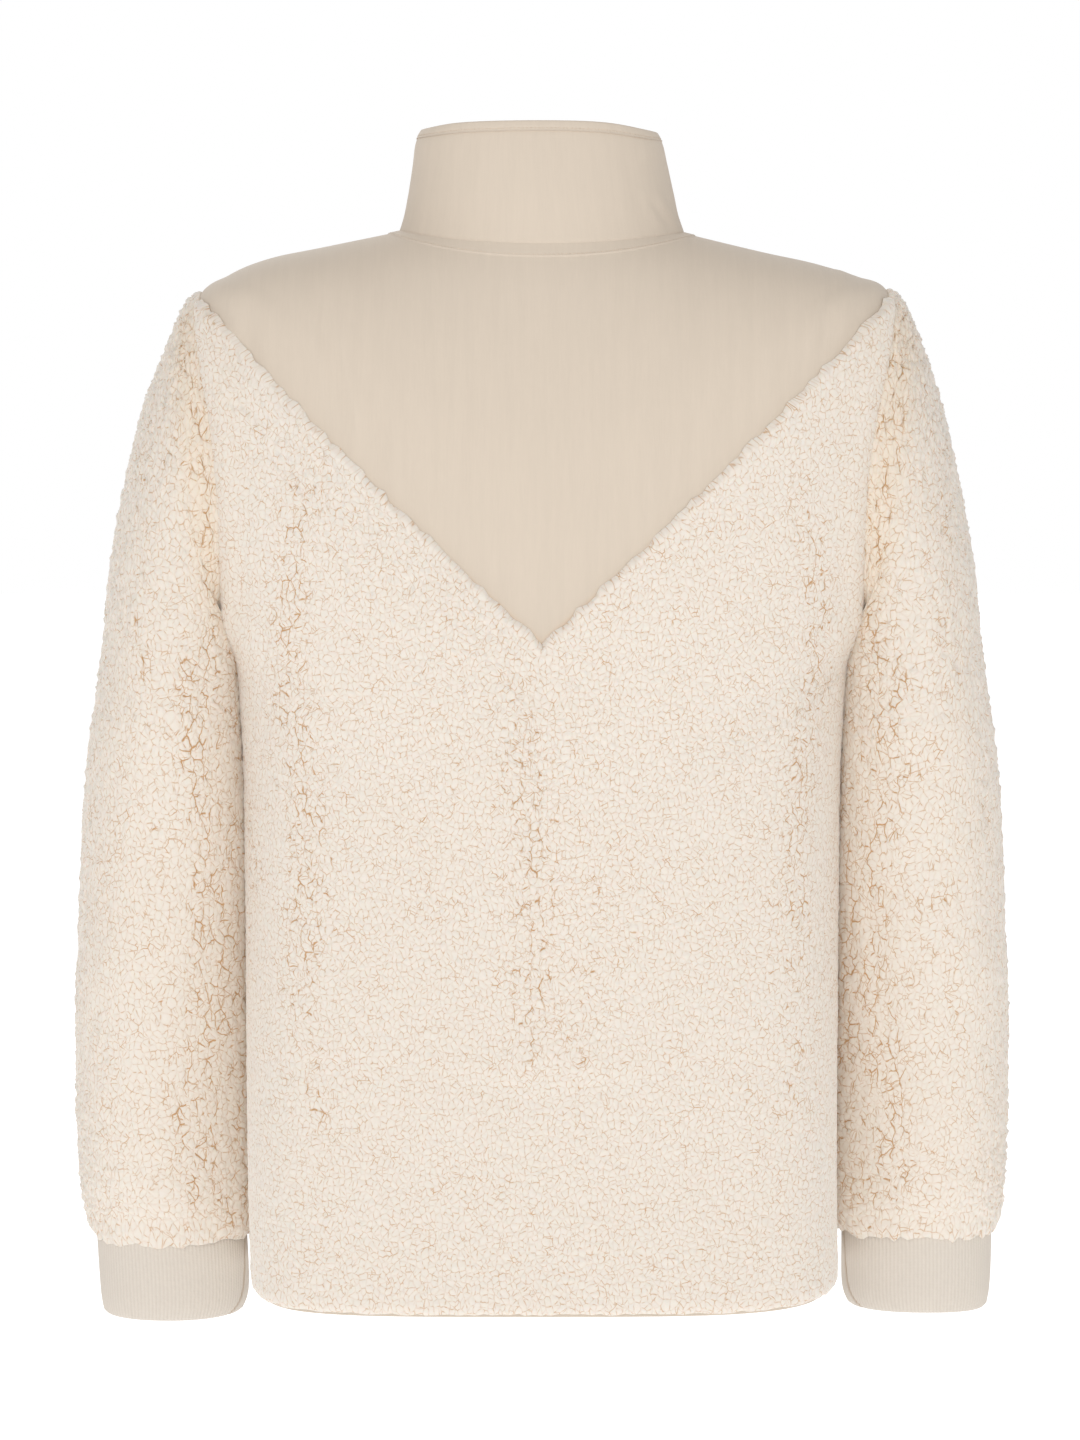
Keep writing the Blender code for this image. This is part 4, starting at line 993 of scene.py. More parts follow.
def stitch_tree():
    """Lays one small stitch at every pitch along a line of edges that carries its normal."""
    tree = bpy.data.node_groups.new("stitch_row", "GeometryNodeTree")
    sockets = [tree.interface.new_socket(key, in_out="INPUT", socket_type="NodeSocket" + kind)
               for key, kind in (("Geometry", "Geometry"), ("Pitch", "Float"), ("Length", "Float"),
                                 ("Thick", "Float"), ("Finish", "Material"))]
    tree.interface.new_socket("Geometry", in_out="OUTPUT", socket_type="NodeSocketGeometry")
    given = node(tree, "NodeGroupInput")
    line = node(tree, "GeometryNodeMeshToCurve", {"Mesh": given.outputs["Geometry"]})
    line = node(tree, "GeometryNodeResampleCurve",
                {"Curve": line.outputs["Curve"], "Length": given.outputs["Pitch"]}, mode="LENGTH")
    tangent = node(tree, "GeometryNodeInputTangent").outputs["Tangent"]
    turn = node(tree, "FunctionNodeAlignRotationToVector",
                {"Vector": attribute(tree, "out", "FLOAT_VECTOR")}, axis="Z")
    turn = node(tree, "FunctionNodeAlignRotationToVector",
                {"Rotation": turn.outputs[0], "Vector": tangent}, axis="X", pivot_axis="Z")
    ball = node(tree, "GeometryNodeMeshUVSphere", {"Segments": 6, "Rings": 4, "Radius": 0.5})
    size = node(tree, "ShaderNodeCombineXYZ", {"X": given.outputs["Length"],
                                               "Y": given.outputs["Thick"],
                                               "Z": given.outputs["Thick"]})
    many = node(tree, "GeometryNodeInstanceOnPoints",
                {"Points": line.outputs["Curve"], "Instance": ball.outputs["Mesh"],
                 "Rotation": turn.outputs[0], "Scale": size.outputs[0]})
    real = node(tree, "GeometryNodeRealizeInstances", {"Geometry": many.outputs["Instances"]})
    done = node(tree, "GeometryNodeSetMaterial", {"Geometry": real.outputs["Geometry"],
                                                  "Material": given.outputs["Finish"]})
    node(tree, "NodeGroupOutput", {"Geometry": done.outputs["Geometry"]})
    return tree, sockets[1:]


STITCHES, STITCH_SOCKETS = stitch_tree()


def stitching(name, runs):
    """Rows of stitches. runs holds (points, normals) in millimetres for each row."""
    points, edges, outs = [], [], []
    for line, out in runs:
        start = len(points)
        points += [tuple(p) for p in settled(line + out * 0.12) * MM]
        outs += [tuple(p) for p in out]
        edges += [(start + k, start + k + 1) for k in range(len(line) - 1)]
    mesh = bpy.data.meshes.new(name)
    mesh.from_pydata(points, edges, [])
    held = mesh.attributes.new("out", "FLOAT_VECTOR", "POINT")
    held.data.foreach_set("vector", np.array(outs, np.float32).ravel())
    obj = bpy.data.objects.new(name, mesh)
    scene.collection.objects.link(obj)
    modifier = obj.modifiers.new("stitches", "NODES")
    modifier.node_group = STITCHES
    values = (STITCH_PITCH * MM, STITCH_LENGTH * MM, STITCH_THICK * MM, thread)
    for socket, value in zip(STITCH_SOCKETS, values):
        modifier[socket.identifier] = value
    plain_mesh(obj)
    obj.data.shade_smooth()
    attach(obj, "root")
    return obj


shoulder_turn = solve(lambda t: float(armhole(np.float64(t))[0]) - shoulder, -1.2, 0.0)
shoulder_end = [float(x) for x in armhole(np.float64(shoulder_turn))]
strip_low = STRIP_LINES[0]


def beside_shoulder(v_turn):
    """A yoke's outer edge: up the armhole from the V's end, then along the shoulder seam."""
    seam = straight(shoulder_end, (shoulder, neck_level(shoulder, strip_low)))
    return np.concatenate([armhole_run(v_turn, shoulder_turn), seam[1:]])


top_angles = np.linspace(centre, shoulder, 120)
yoke_grid = with_strip(patch(
    straight((centre, V_TIP), (centre, neck_level(centre, strip_low))), beside_shoulder(V_BACK),
    v_back_run, below_neck(top_angles, strip_low), YOKE_COLUMNS, YOKE_ROWS))


def yoke_panel(name, grid, side, whole, join_x=None):
    """A woven yoke piece from its half grid. whole says that it crosses the centre line."""
    base, out = body_grid(grid)
    height = WOVEN + strip_height(grid)
    _, _, v_away, neck_away = edge_distances(base)
    height = height * rounded(np.minimum(v_away, neck_away + 3), 0.90, 2.0)
    # Painted shade: nearness to the V seam, under the pile's overhanging edge, as the mask for the
    # tan.
    beside = np.exp(-(v_away / 4.2) ** 2)
    up = base[:, :1, 2] + run_length(base * np.array([0, 1, 1]), 1)
    uv = np.stack([base[..., 0], up], axis=-1) * MM
    if whole:
        base, out = both_halves(base), both_halves(out)
        height, beside = both_halves(height, False), both_halves(beside, False)
        uv = np.concatenate([uv[:0:-1] * np.array([-1, 1]), uv])
    else:
        base, out = mirrored(base, side), mirrored(out, side)
    if join_x is not None:
        near = (np.abs(base[..., 0] - join_x) < 4) & (height > WOVEN + 0.4)
        height = height + near * 0.4 * np.exp(-((base[..., 0] - join_x) / 1.8) ** 4)
    height = height + ridges(base, YOKE_PUCKERS)
    made = slab(name, base, base + out * height[..., None], [woven, woven_inside],
                data={"pile_shadow": beside}, uv=uv)
    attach(made, "root")
    return made


yoke = yoke_panel("back_yoke_cloth", yoke_grid, 1, True, STRIP_JOIN_X)
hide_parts("yoke_back")


def strip_run(angles, distance):
    """A line of stitches on the strip, at a distance below the neck seam."""
    line = below_neck(np.asarray(angles), distance)
    base, out = body_point(line[:, 0], line[:, 1]), body_normal(line[:, 0], line[:, 1])
    return base + out * (WOVEN + STRIP_RISE - 0.2), out


stitch_line = STRIP_WIDTH - 1.3
neck_stitches = stitching("neck_stitches", [strip_run(
    np.linspace(shoulder, math.pi - shoulder, 400), stitch_line)])

# Front yokes, in the same woven cloth.
# Two mirrored pieces between the shoulder seams, the front bands and half a V each. The
# photograph doesn't show them, so they repeat the back yoke's V and topstitching.
FRONT_YOKE_COLUMNS, FRONT_YOKE_ROWS = 84, 84
band_up = front_edge(low_level, float(neck_level(band_high[-1, 0], strip_low)))
top_angles = np.linspace(band_up[-1][0], shoulder, 120)
front_yoke_grid = with_strip(patch(
    band_up, beside_shoulder(V_FRONT), v_front_run, below_neck(top_angles, strip_low),
    FRONT_YOKE_COLUMNS, FRONT_YOKE_ROWS))
for side, label in ((1, "left"), (-1, "right")):
    made = yoke_panel("front_yoke_cloth_" + label, front_yoke_grid, side, False)
    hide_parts("yoke_front_" + label)
    line, out = strip_run(np.linspace(band_high[-1][0], shoulder, 160), stitch_line)
    stitches = stitching("front_neck_stitches_" + label,
                         [(mirrored(line, side), mirrored(out, side))])

# Sleeves, in pile with larger curls.
# Two tubes of the same pile, set into the armholes under the V's ends and gathered a little
# into the cuffs, where the pile stands over the rib.
SLEEVE = (
    # outer_x, outer_z, inner_x, inner_z, mid_y, half_depth, square
    (228, -37, 205, -278, 0, 60, 2.0),
    (236, -49, 210, -275.5, -1, 61, 2),
    (243.5, -66, 215, -275, -1, 62, 2),
    (254.5, -92, 217.5, -279, -2, 63, 2),
    (265, -121, 218, -290, -3, 64, 2.1),
    (277.5, -171, 216.4, -308, -4, 65, 2.1),
    (287.5, -225, 213.8, -332, -5, 66, 2.15),
    (294.2, -285, 211.8, -362, -6, 66, 2.2),
    (305.5, -360, 209.8, -406, -9, 65, 2.2),
    (311.5, -440, 208.3, -462, -14, 63, 2.2),
    (315.5, -520, 207.6, -530, -21, 60, 2.2),
    (318.2, -592, 207.6, -594, -30, 56, 2.2),
    (318, -640, 207.8, -638, -37, 51, 2.2),
    (317, -666, 208.3, -663, -40, 44, 2.15),
    (314.5, -681, 209.5, -679, -42, 37, 2.1),
    (311, -689, 210.7, -687, -42, 33.5, 2.1),
)
# Folds: angle, share down the sleeve, angle width, share of its length, slant, height
SLEEVE_FOLDS = (
    (150, 0.40, 60, 0.030, 0.0006, -2.6),
    (95, 0.47, 55, 0.022, -0.0007, 2.4),
    (110, 0.58, 60, 0.024, 0.0005, -2.8),
    (60, 0.64, 50, 0.022, -0.0006, 2.4),
    (250, 0.60, 60, 0.026, 0.0006, -2.8),
    (230, 0.70, 60, 0.024, -0.0005, 2.4),
    (95, 0.80, 50, 0.020, 0.0004, -2.0),
    (300, 0.78, 50, 0.020, -0.0004, 2.0),
    (138, 0.34, 36, 0.045, -0.0060, 3.0),
    (150, 0.46, 36, 0.045, -0.0060, -3.0),
)
SLEEVE_COLUMNS, SLEEVE_ROWS = 212, 360
PILE_OVER_CUFF = 8.5
# Where a sleeve's pile has parted, as lines down it: turn in degrees, top and bottom share,
# half width in degrees, strength
SLEEVE_PARTS = (
    (122, 0.18, 0.95, 22, 1.0),
    (150, 0.20, 0.96, 26, 1.0),
    (100, 0.02, 0.20, 14, 0.9),
    (62, 0.03, 0.55, 16, 0.5),
    (95, 0.30, 0.97, 22, 0.45),
    (232, 0.20, 0.92, 20, 0.9),
    (290, 0.05, 0.60, 18, 0.5),
)


def sleeve_ring(table, turn, share):
    """A point of a sleeve or cuff ring, for the wearer's left arm."""
    row = smooth_rows(table, np.linspace(0, 1, len(table)), share)
    outer_x, outer_z, inner_x, inner_z, mid_y, half_depth, square = np.moveaxis(row, -1, 0)
    c, s = np.cos(turn), np.sin(turn)
    reach = (np.abs(c) ** square + np.abs(s) ** square) ** (-1 / square)
    x = (outer_x + inner_x) / 2 + (outer_x - inner_x) / 2 * c * reach
    z = (outer_z + inner_z) / 2 + (outer_z - inner_z) / 2 * c * reach
    return np.stack([x, mid_y + half_depth * s * reach, z], axis=-1)


def sleeve_fold(turn, share):
    height = np.zeros(np.broadcast(turn, share).shape)
    for middle, down, width, length, slant, amount in SLEEVE_FOLDS:
        away = (np.degrees(turn) - middle + 180) % 360 - 180
        height += amount * np.exp(-(away / width) ** 2
                                  - ((share - down - slant * away) / length) ** 2)
    return height


def sleeve_point(turn, share):
    """The left sleeve's cloth surface. Its first ring is the armhole itself."""
    turn, share = np.broadcast_arrays(np.asarray(turn, float), np.asarray(share, float))
    point = sleeve_ring(SLEEVE, turn, share)
    seam = body_point(*armhole(turn)) - sleeve_ring(SLEEVE, turn, np.zeros_like(turn))
    fade = np.clip(1 - share / 0.3, 0, 1) ** 2
    point = point + seam * fade[..., None]
    lift = sleeve_fold(turn, share) * (0.55 + 0.45 * np.cos(turn))
    outward = np.stack([np.cos(turn), np.sin(turn), np.zeros_like(turn)], axis=-1)
    return point + outward * lift[..., None]


def sleeve_normal(turn, share):
    return normal_of(sleeve_point, turn, np.clip(share, 0.001, 0.999), -1)


def armhole_direction(turn):
    """The seam's own direction, half way between the body's and the sleeve's normals."""
    return unit(body_normal(*armhole(turn)) + sleeve_normal(turn, np.zeros_like(turn)))


def own_side(base, out, height, direction):
    """Lowers a wall near its seam, the first line, so that it stays on its side of the fold."""
    reach = 50
    into = base[:, 1:reach] - base[:, :1]
    way = into - (into * direction[:, None]).sum(-1, keepdims=True) * direction[:, None]
    face = unit(way)
    clear = (into * face).sum(-1)
    push = -(out[:, 1:reach] * face).sum(-1)
    room = np.where(push > 1e-3, clear / np.maximum(push, 1e-3) * 0.9, 99.0)
    height[:, 1:reach] = np.minimum(height[:, 1:reach], room)
    return height


def sleeve_parting(turns, shares):
    turn, share = np.meshgrid(np.degrees(turns), shares, indexing="ij")
    found = np.zeros(turn.shape)
    for middle, top, bottom, half_width, strength in SLEEVE_PARTS:
        away = (turn - middle - 8 * np.sin(share * 19 + middle) + 180) % 360 - 180
        ends = 1 / (1 + np.exp((top - share) / 0.03)) / (1 + np.exp((share - bottom) / 0.03))
        found = np.maximum(found, strength * ends * np.exp(-(away / half_width) ** 2))
    return found


def sleeve_flat(points):
    """The left sleeve's points, laid flat: metres across from its outer line, and up."""
    x, y = points[..., 0], points[..., 1]
    quarter = len(points) // 4
    steps = np.abs(np.diff(points[..., :2], axis=0)).sum(-1)
    run = np.concatenate([steps[:1] * 0, np.cumsum(steps, axis=0)])
    across = x[2 * quarter] + y[3 * quarter] - y[2 * quarter] + run[2 * quarter] - run
    return np.stack([across, points[..., 2], across * 0], axis=-1) * MM


turns = math.pi + np.linspace(0, 2 * math.pi, SLEEVE_COLUMNS, endpoint=False)
shares = np.linspace(0, 1, SLEEVE_ROWS + 1)
turn, share = np.meshgrid(turns, shares, indexing="ij")
for side, label in ((1, "left"), (-1, "right")):
    base, out = sleeve_point(turn, share), sleeve_normal(turn, share)
    out[:, 0] = armhole_direction(turns)
    length, cuff_away = edge_distances(base)[2:]
    part = np.minimum(rounded(length, 0.45, 11.0), rounded(cuff_away, 0.5, 9.0))
    height = own_side(base, out, PILE * part, out[:, 0])
    grow = np.clip(height / PILE, 0.2, 1) * (1 + 1.8 * np.clip(np.cos(turn), 0, 1) ** 2)
    rough = 1 + 0.3 * lumps(SLEEVE_COLUMNS, 21 + side)[:, None]
    over_cuff = np.clip(1 - cuff_away / 14, 0, 1) * PILE_OVER_CUFF * rough
    lean = np.array([0, 0, -1.0]) * over_cuff[..., None]
    # Painted shade: the sleeve's inner side, which faces the body, and a band just below the
    # armhole seam at the front and back, where the body's edge overhangs the sleeve, go towards a
    # deeper cream. The pile also parts more in that band.
    inner = np.clip((-np.cos(turn) - 0.20) / 0.5, 0, 1)
    inner = inner * inner * (3 - 2 * inner)
    beside = np.exp(-((length - 16) / 24) ** 2) * np.clip(np.abs(np.sin(turn)) * 3 - 0.5, 0, 1)
    tint_and_shade = 0.10 + np.maximum(0.08 * inner * np.clip(share * 4, 0, 1), 0.46 * beside)
    towards = np.exp(-((share - 0.27) / 0.12) ** 2) * 2.6
    towards = towards + 2.2 * np.clip((share - 0.16) / 0.1, 0, 1)
    height = height + towards * np.clip(-np.cos(turn), 0, 1) ** 1.5
    corner = np.exp(-((np.abs(np.degrees(turn) - 360) - 152) / 25) ** 2)
    corner = corner * np.clip(share * 9 - 0.8, 0, 1) * np.clip((0.985 - share) * 12, 0, 1)
    height = height + 8.5 * corner
    flat = sleeve_flat(base) + 0.7 * (side + 2)
    parted = np.maximum(sleeve_parting(turns, shares), 0.75 * beside)
    made = pile_panel("sleeve_pile_" + label, side, (base, out), flat,
                      (height, grow, parted, tint_and_shade), 0.86, lean, True)
    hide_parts("sleeve_" + label)
    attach(made, "root")

# Cuffs, in knitted rib.
# Two short tubes of rib, sewn to the sleeves' gathered ends under the pile. Each has one seam
# on its inner side.
CUFF = (
    # outer_x, outer_z, inner_x, inner_z, mid_y, half_depth, square
    (311, -689, 211.5, -687, -42, 33.5, 2.1),
    (311.4, -702, 211.0, -701, -43, 34.7, 2.15),
    (310.6, -738, 211.4, -737, -45, 34.7, 2.15),
    (308.4, -753, 216.0, -752, -45.5, 31.6, 2.1),
)
CUFF_RIBS = 118
RIB_POINTS = 6
RIB_CREST, RIB_VALLEY = 2.4, 2.05
CUFF_ROWS = 16
COURSE_PITCH = 0.0011  # metres between the knit's courses
CUFF_SEAM_TURNS = 2.95, 2.55  # radians round the cuff from its outer side, top and bottom
RIB_VALLEY_SHADE, RIB_PALE = (0.628, 0.560, 0.487, 1), (0.681, 0.618, 0.545, 1)
RIB_SEAM = (0.42, 0.29, 0.18, 1)


def cuff_point(turn, share):
    turn, share = np.broadcast_arrays(np.asarray(turn, float), np.asarray(share, float))
    return sleeve_ring(CUFF, turn, share)


def cuff_normal(turn, share):
    return normal_of(cuff_point, turn, np.clip(share, 0.001, 0.999), -1)


def rib_finish():
    """Knitted rib: pale on the ribs and deeper between them as painted shade, with fine courses
    across.
    """
    made, tree, shader = new_finish("rib")
    place = node(tree, "ShaderNodeUVMap", uv_map="UVMap").outputs["UV"]
    parts = node(tree, "ShaderNodeSeparateXYZ", {"Vector": place})
    course = threads(tree, parts.outputs["Y"], COURSE_PITCH)
    # Painted shade: the colour deepens in the valleys between the ribs, after the crest mask in
    # grow, with a little random patchiness.
    patchy = maths(tree, "MULTIPLY_ADD", noise(tree, place, 60.0), 0.2,
                   maths(tree, "MULTIPLY", painted(tree, "grow"), 0.8))
    tint = blend(tree, patchy, RIB_VALLEY_SHADE, RIB_PALE)
    sewn = blend(tree, painted(tree, "seam"), tint, RIB_SEAM)
    tree.links.new(sewn, shader.inputs["Base Color"])
    raise_bump(tree, shader, course, 0.25, 0.0004)
    set_plain(shader, Roughness=0.9, Sheen_Weight=0.15)
    return made


rib = rib_finish()
fine = np.linspace(0, 2 * math.pi, CUFF_RIBS * RIB_POINTS, endpoint=False)
down = np.linspace(0, 1, CUFF_ROWS + 1)
turn, share = np.meshgrid(fine, down, indexing="ij")
wave = 0.5 + 0.5 * np.cos(turn * CUFF_RIBS)
for side, label in ((1, "left"), (-1, "right")):
    base, out = cuff_point(turn, share), cuff_normal(turn, share)
    base = base + out * 0.5
    ends = rounded(edge_distances(base)[3], 0.35, 2.4)
    crest = wave ** 0.8
    seam_turn = CUFF_SEAM_TURNS[0] + (CUFF_SEAM_TURNS[1] - CUFF_SEAM_TURNS[0]) * share ** 2
    seam = np.exp(-((turn - seam_turn) / 0.022) ** 2)
    height = (RIB_VALLEY + (RIB_CREST - RIB_VALLEY) * crest) * ends - 0.9 * seam
    height = height - 0.5 + 0.25 * np.sin(turn * 5 + 1.3) * np.sin(share * 6)
    uv = np.stack([run_length(base, 0), run_length(base, 1)], axis=-1) * MM
    outer = mirrored(base + out * height[..., None], side)
    # The crest mask, held in grow, also sets the rib's painted shade between the ribs.
    made = slab("cuff_rib_" + label, mirrored(base, side), outer, [rib, rib], True,
                {"grow": crest, "seam": seam}, uv)
    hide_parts("cuff_" + label)
    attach(made, "root")

# Stand collar, in the woven cloth.
# Two layers of woven cloth with an interlining, standing from the neck seam and open at the
# centre front, where it ends beside the front bands.
COLLAR = (
    # share, half_width, back_y, front_y, side_z, back_z, front_z, square, arch
    (0.00, 93.5, 76, -80, 0, -5.5, -76, 2.0, 2.2),
    (0.12, 90.8, 75.5, -79.5, 8, 5, -67, 2.0, 2.0),
    (0.35, 87.0, 74, -78.5, 24, 24, -50, 2.05, 1.8),
    (0.65, 83.0, 70, -77, 45, 49, -27, 2.1, 1.6),
    (0.88, 80.0, 66, -75.5, 62, 67, -10, 2.15, 1.4),
    (1.00, 76.5, 64, -74.5, 70, 75, -1, 2.2, 1.3),
)
COLLAR_CLOTH = 2.5
COLLAR_COLUMNS, COLLAR_ROWS = 260, 44
BINDING_START = 0.895
# Puckers on the collar: x, y side, height, length, width, slant in degrees, rise
COLLAR_PUCKERS = (
    (-82, 1, 14, 18, 3.2, 24, 0.7),
    (-76, 1, 12, 15, 2.8, 30, -0.6),
    (-70, 1, 16, 16, 3.2, 22, 0.5),
    (-84, 1, 34, 16, 3.0, 14, 0.5),
    (-66, 1, 50, 20, 3.5, -14, 0.4),
    (-58, 1, 30, 22, 4.0, 8, -0.35),
    (-72, 1, 58, 10, 2.6, -24, 0.5),
    (40, 1, 28, 26, 6.0, -6, 0.3),
    (76, 1, 12, 14, 3.0, -20, 0.4),
    (10, 1, 34, 30, 8.0, 4, 0.3),
    (50, -1, -30, 20, 5.0, 10, 0.4),
    (-50, -1, -26, 22, 5.0, -12, 0.4),
)


def collar_row(share):
    return smooth_rows([row[1:] for row in COLLAR], [row[0] for row in COLLAR], share)


def collar_point(angle, share):
    angle, share = np.broadcast_arrays(np.asarray(angle, float), np.asarray(share, float))
    return ring_point(collar_row(share), angle)


def collar_normal(angle, share):
    return normal_of(collar_point, angle, np.clip(share, 0.001, 0.999), 1)


def beside_band(points):
    """Keeps a collar's two front ends on the lines beside the front bands."""
    points[0, :, 0] = BAND_HALF + SEAM_GAP
    points[-1, :, 0] = -BAND_HALF - SEAM_GAP
    return points


collar_start = float(band_high[-1][0])
collar_angles = np.linspace(collar_start, math.pi - collar_start, COLLAR_COLUMNS + 1)
shares = np.linspace(0, BINDING_START, COLLAR_ROWS + 1)
angle, share = np.meshgrid(collar_angles, shares, indexing="ij")
base, out = collar_point(angle, share), collar_normal(angle, share)
low_away, top_away = edge_distances(base)[2:]
height = COLLAR_CLOTH * rounded(low_away, 0.7, 2.0) * rounded(top_away, 0.95, 1.2)
height = height + ridges(base, COLLAR_PUCKERS)
outer = beside_band(base + out * height[..., None])
collar = slab("collar_cloth", beside_band(base.copy()), outer, [woven, woven_inside],
              uv=flat_uv(base, COLLAR_COLUMNS // 2))
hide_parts("collar")
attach(collar, "root")

# Collar binding, folded over the top edge.
# A strip of the same cloth, folded over the collar's top edge and stitched through just above
# its lower edge. It is a little thicker than the collar.
BINDING_CLOTH = 3.4
BINDING_ROWS = 12
shares = np.linspace(BINDING_START, 1, BINDING_ROWS + 1)
angle, share = np.meshgrid(collar_angles, shares, indexing="ij")
base, out = collar_point(angle, share), collar_normal(angle, share)
low_away, top_away = edge_distances(base)[2:]
roll = rounded(top_away, 0.42, 4.0)
inward = -0.45 * rounded(low_away, 0.0, 1.2) + 0.9 * np.clip(1 - top_away / 3.5, 0, 1) ** 2
thick = BINDING_CLOTH * roll * rounded(low_away, 0.93, 1.4)
gather = (0.10 * np.sin(collar_angles * 97) + 0.08 * np.sin(collar_angles * 41 + 1))[:, None]
groove = 0.22 * np.exp(-((low_away - 1.5) / 0.7) ** 2)
inner_side = base + out * inward[..., None]
outer = inner_side + out * (thick + gather * roll - groove)[..., None]
binding = slab("collar_binding_cloth", beside_band(inner_side.copy()), beside_band(outer.copy()),
               [woven, woven_inside], uv=flat_uv(base, COLLAR_COLUMNS // 2))
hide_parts("collar_binding")
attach(binding, "root")
row = int(np.argmin(np.abs(low_away.mean(0) - 1.5)))
binding_stitches = stitching("binding_stitches", [(outer[1:-1, row], out[1:-1, row])])

# Hem facing, a woven strip inside the hem.
# A strip of woven cloth sewn inside the hem all round, showing as a thin edge under the pile.
FACING, FACING_GAP, FACING_DROP, FACING_UP = 1.2, 0.7, 4.3, 38.0
FACING_ROWS = 9
start = float(band_low[0][0])
half = np.concatenate([np.linspace(start, 0, 150), np.linspace(0, centre, 110)[1:]])
hem_angles = np.concatenate([half, math.pi - half[-2::-1]])
hem_step = np.linalg.norm(body_point(0.5, 1.0) - body_point(0.5, 0.99), axis=-1) / 0.01
levels = 1 - np.linspace(FACING_UP, 0, FACING_ROWS - 2) / hem_step
base, out = body_grid(np.stack(np.meshgrid(hem_angles, levels, indexing="ij"), axis=-1))
drop = np.array([0, 0, -1.0])
edges = [base[:, -1:] + drop * (FACING_DROP - up) for up in (1.0, 0.0)]
base = np.concatenate([base] + edges, axis=1)
out = np.concatenate([out, out[:, -1:], out[:, -1:]], axis=1)
outer = base - out * FACING_GAP
edge = np.ones(base.shape[:2])
edge[:, -1] = 0.55
inner_side = outer - out * FACING
outer = inner_side + out * (FACING * edge)[..., None]
facing = slab("hem_facing_cloth", inner_side, outer, [woven, woven_inside], uv=flat_uv(base))
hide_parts("hem_facing")
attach(facing, "root")

# Front bands, of folded woven cloth.
# Two bands that lie on each other up the centre front and the collar, the top one with
# buttonholes and a row of topstitching near each edge. Guessed from the name.
BAND_CLOTH, BAND_GAP = 1.7, 0.3
BAND_COLUMNS = 26
COLLAR_PART = 0.86  # the share of a band's length below the neck seam
BUTTON_COUNT, BUTTON_TOP_Z, BUTTON_STEP = 7, -40.0, 104.0
HOLE_LENGTH = 20.0


def band_line(shares, x):
    """Points and normals up the centre front, over the body and then the collar."""
    levels = np.interp(shares, [0, COLLAR_PART], [1.0, 0.0])
    points, ways = [], []
    for one, level in zip(shares, levels):
        if one <= COLLAR_PART:
            angle = math.copysign(1, x) * (line_angle(level, abs(x)) + math.pi / 2) - math.pi / 2
            points.append(body_point(angle, level))
            ways.append(body_normal(angle, np.float64(level)))
        else:
            up = (one - COLLAR_PART) / (1 - COLLAR_PART)
            angle = math.asin(x / collar_row(up)[0]) - math.pi / 2
            points.append(collar_point(angle, up))
            ways.append(collar_normal(angle, np.float64(up)))
    return np.array(points), np.array(ways)


def band_shape():
    """A band's middle surface: points and normals over a grid across and up."""
    coarse_shares = np.concatenate([np.linspace(0, 0.84, 60), [COLLAR_PART, 0.88],
                                    np.linspace(0.90, 1, 14)])
    edges = np.array([-1, 0.001, 1]) * (BAND_HALF - 2 * SEAM_GAP)
    lines = [band_line(coarse_shares, x) for x in edges]
    points = np.array([p for p, _ in lines])
    ways = np.array([w for _, w in lines])
    ways[:, 60] = unit(ways[:, 59] + ways[:, 61])
    ways[..., 0] = 0
    ways = unit(ways)
    points[..., 0] = edges[:, None]
    fine_shares = np.linspace(0, 1, 340)
    across = np.linspace(-1, 1, BAND_COLUMNS + 1)
    weights = np.stack([np.clip(-across, 0, 1), 1 - np.abs(across), np.clip(across, 0, 1)])

    def finer(lines):
        rows = np.stack([[np.interp(fine_shares, coarse_shares, lines[i, :, k])
                          for k in range(3)] for i in range(3)])
        return np.einsum("ic,iks->csk", weights, rows)

    return finer(points), unit(finer(ways))


band_grid, band_out = band_shape()
button_heights = BUTTON_TOP_Z - BUTTON_STEP * np.arange(BUTTON_COUNT)
for name, node_name, start_height in (("band_under_cloth", "band_under", BAND_GAP),
                                      ("band_top_cloth", "band_top", BAND_GAP * 2 + BAND_CLOTH)):
    x, z = band_grid[..., 0], band_grid[..., 2]
    side_away = BAND_HALF - np.abs(x)
    height = BAND_CLOTH * rounded(side_away, 0.55, 1.2)
    height = height - 0.22 * np.exp(-((side_away - 3.2) / 0.8) ** 2)
    if node_name == "band_top":
        for hole_z in button_heights:
            beyond = np.abs(z - hole_z) - HOLE_LENGTH / 2
            lip = np.exp(-((np.abs(x) - 1.6) / 0.9) ** 2) * (beyond < 0.8)
            height = height + 0.25 * lip - 0.7 * (np.abs(x) < 0.9) * (beyond < 0)
    low = band_grid + band_out * start_height
    uv = np.stack([x, run_length(band_grid, 1)], axis=-1) * MM
    made = slab(name, low, low + band_out * height[..., None], [woven, woven_inside], uv=uv)
    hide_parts(node_name)
    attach(made, "root")
top_face = low + band_out * BAND_CLOTH
runs = []
for column in (3, BAND_COLUMNS - 3):
    runs.append((top_face[column] - band_out[column] * 0.15, band_out[column]))
band_stitches = stitching("band_stitches", runs)

# Buttons, turned from matte plastic.
# Seven four-hole buttons with a raised rim, each sewn on through its holes. They are fixed
# as shown.
BUTTON_RADIUS, BUTTON_THICK = 9.0, 3.0
BUTTON_PROFILE = ((0.0, 0.0), (0.90, 0.0), (0.97, 0.35), (1.0, 1.2), (0.985, 2.2), (0.93, 2.85),
                  (0.86, 3.0), (0.79, 2.85), (0.72, 2.2), (0.62, 1.85), (0.0, 1.8))
BUTTON_SIDES = 48
HOLE_RADIUS, HOLE_SPREAD = 1.0, 1.75
BUTTON_DEEP, BUTTON_PALE = (0.60, 0.47, 0.34, 1), (0.76, 0.64, 0.50, 1)


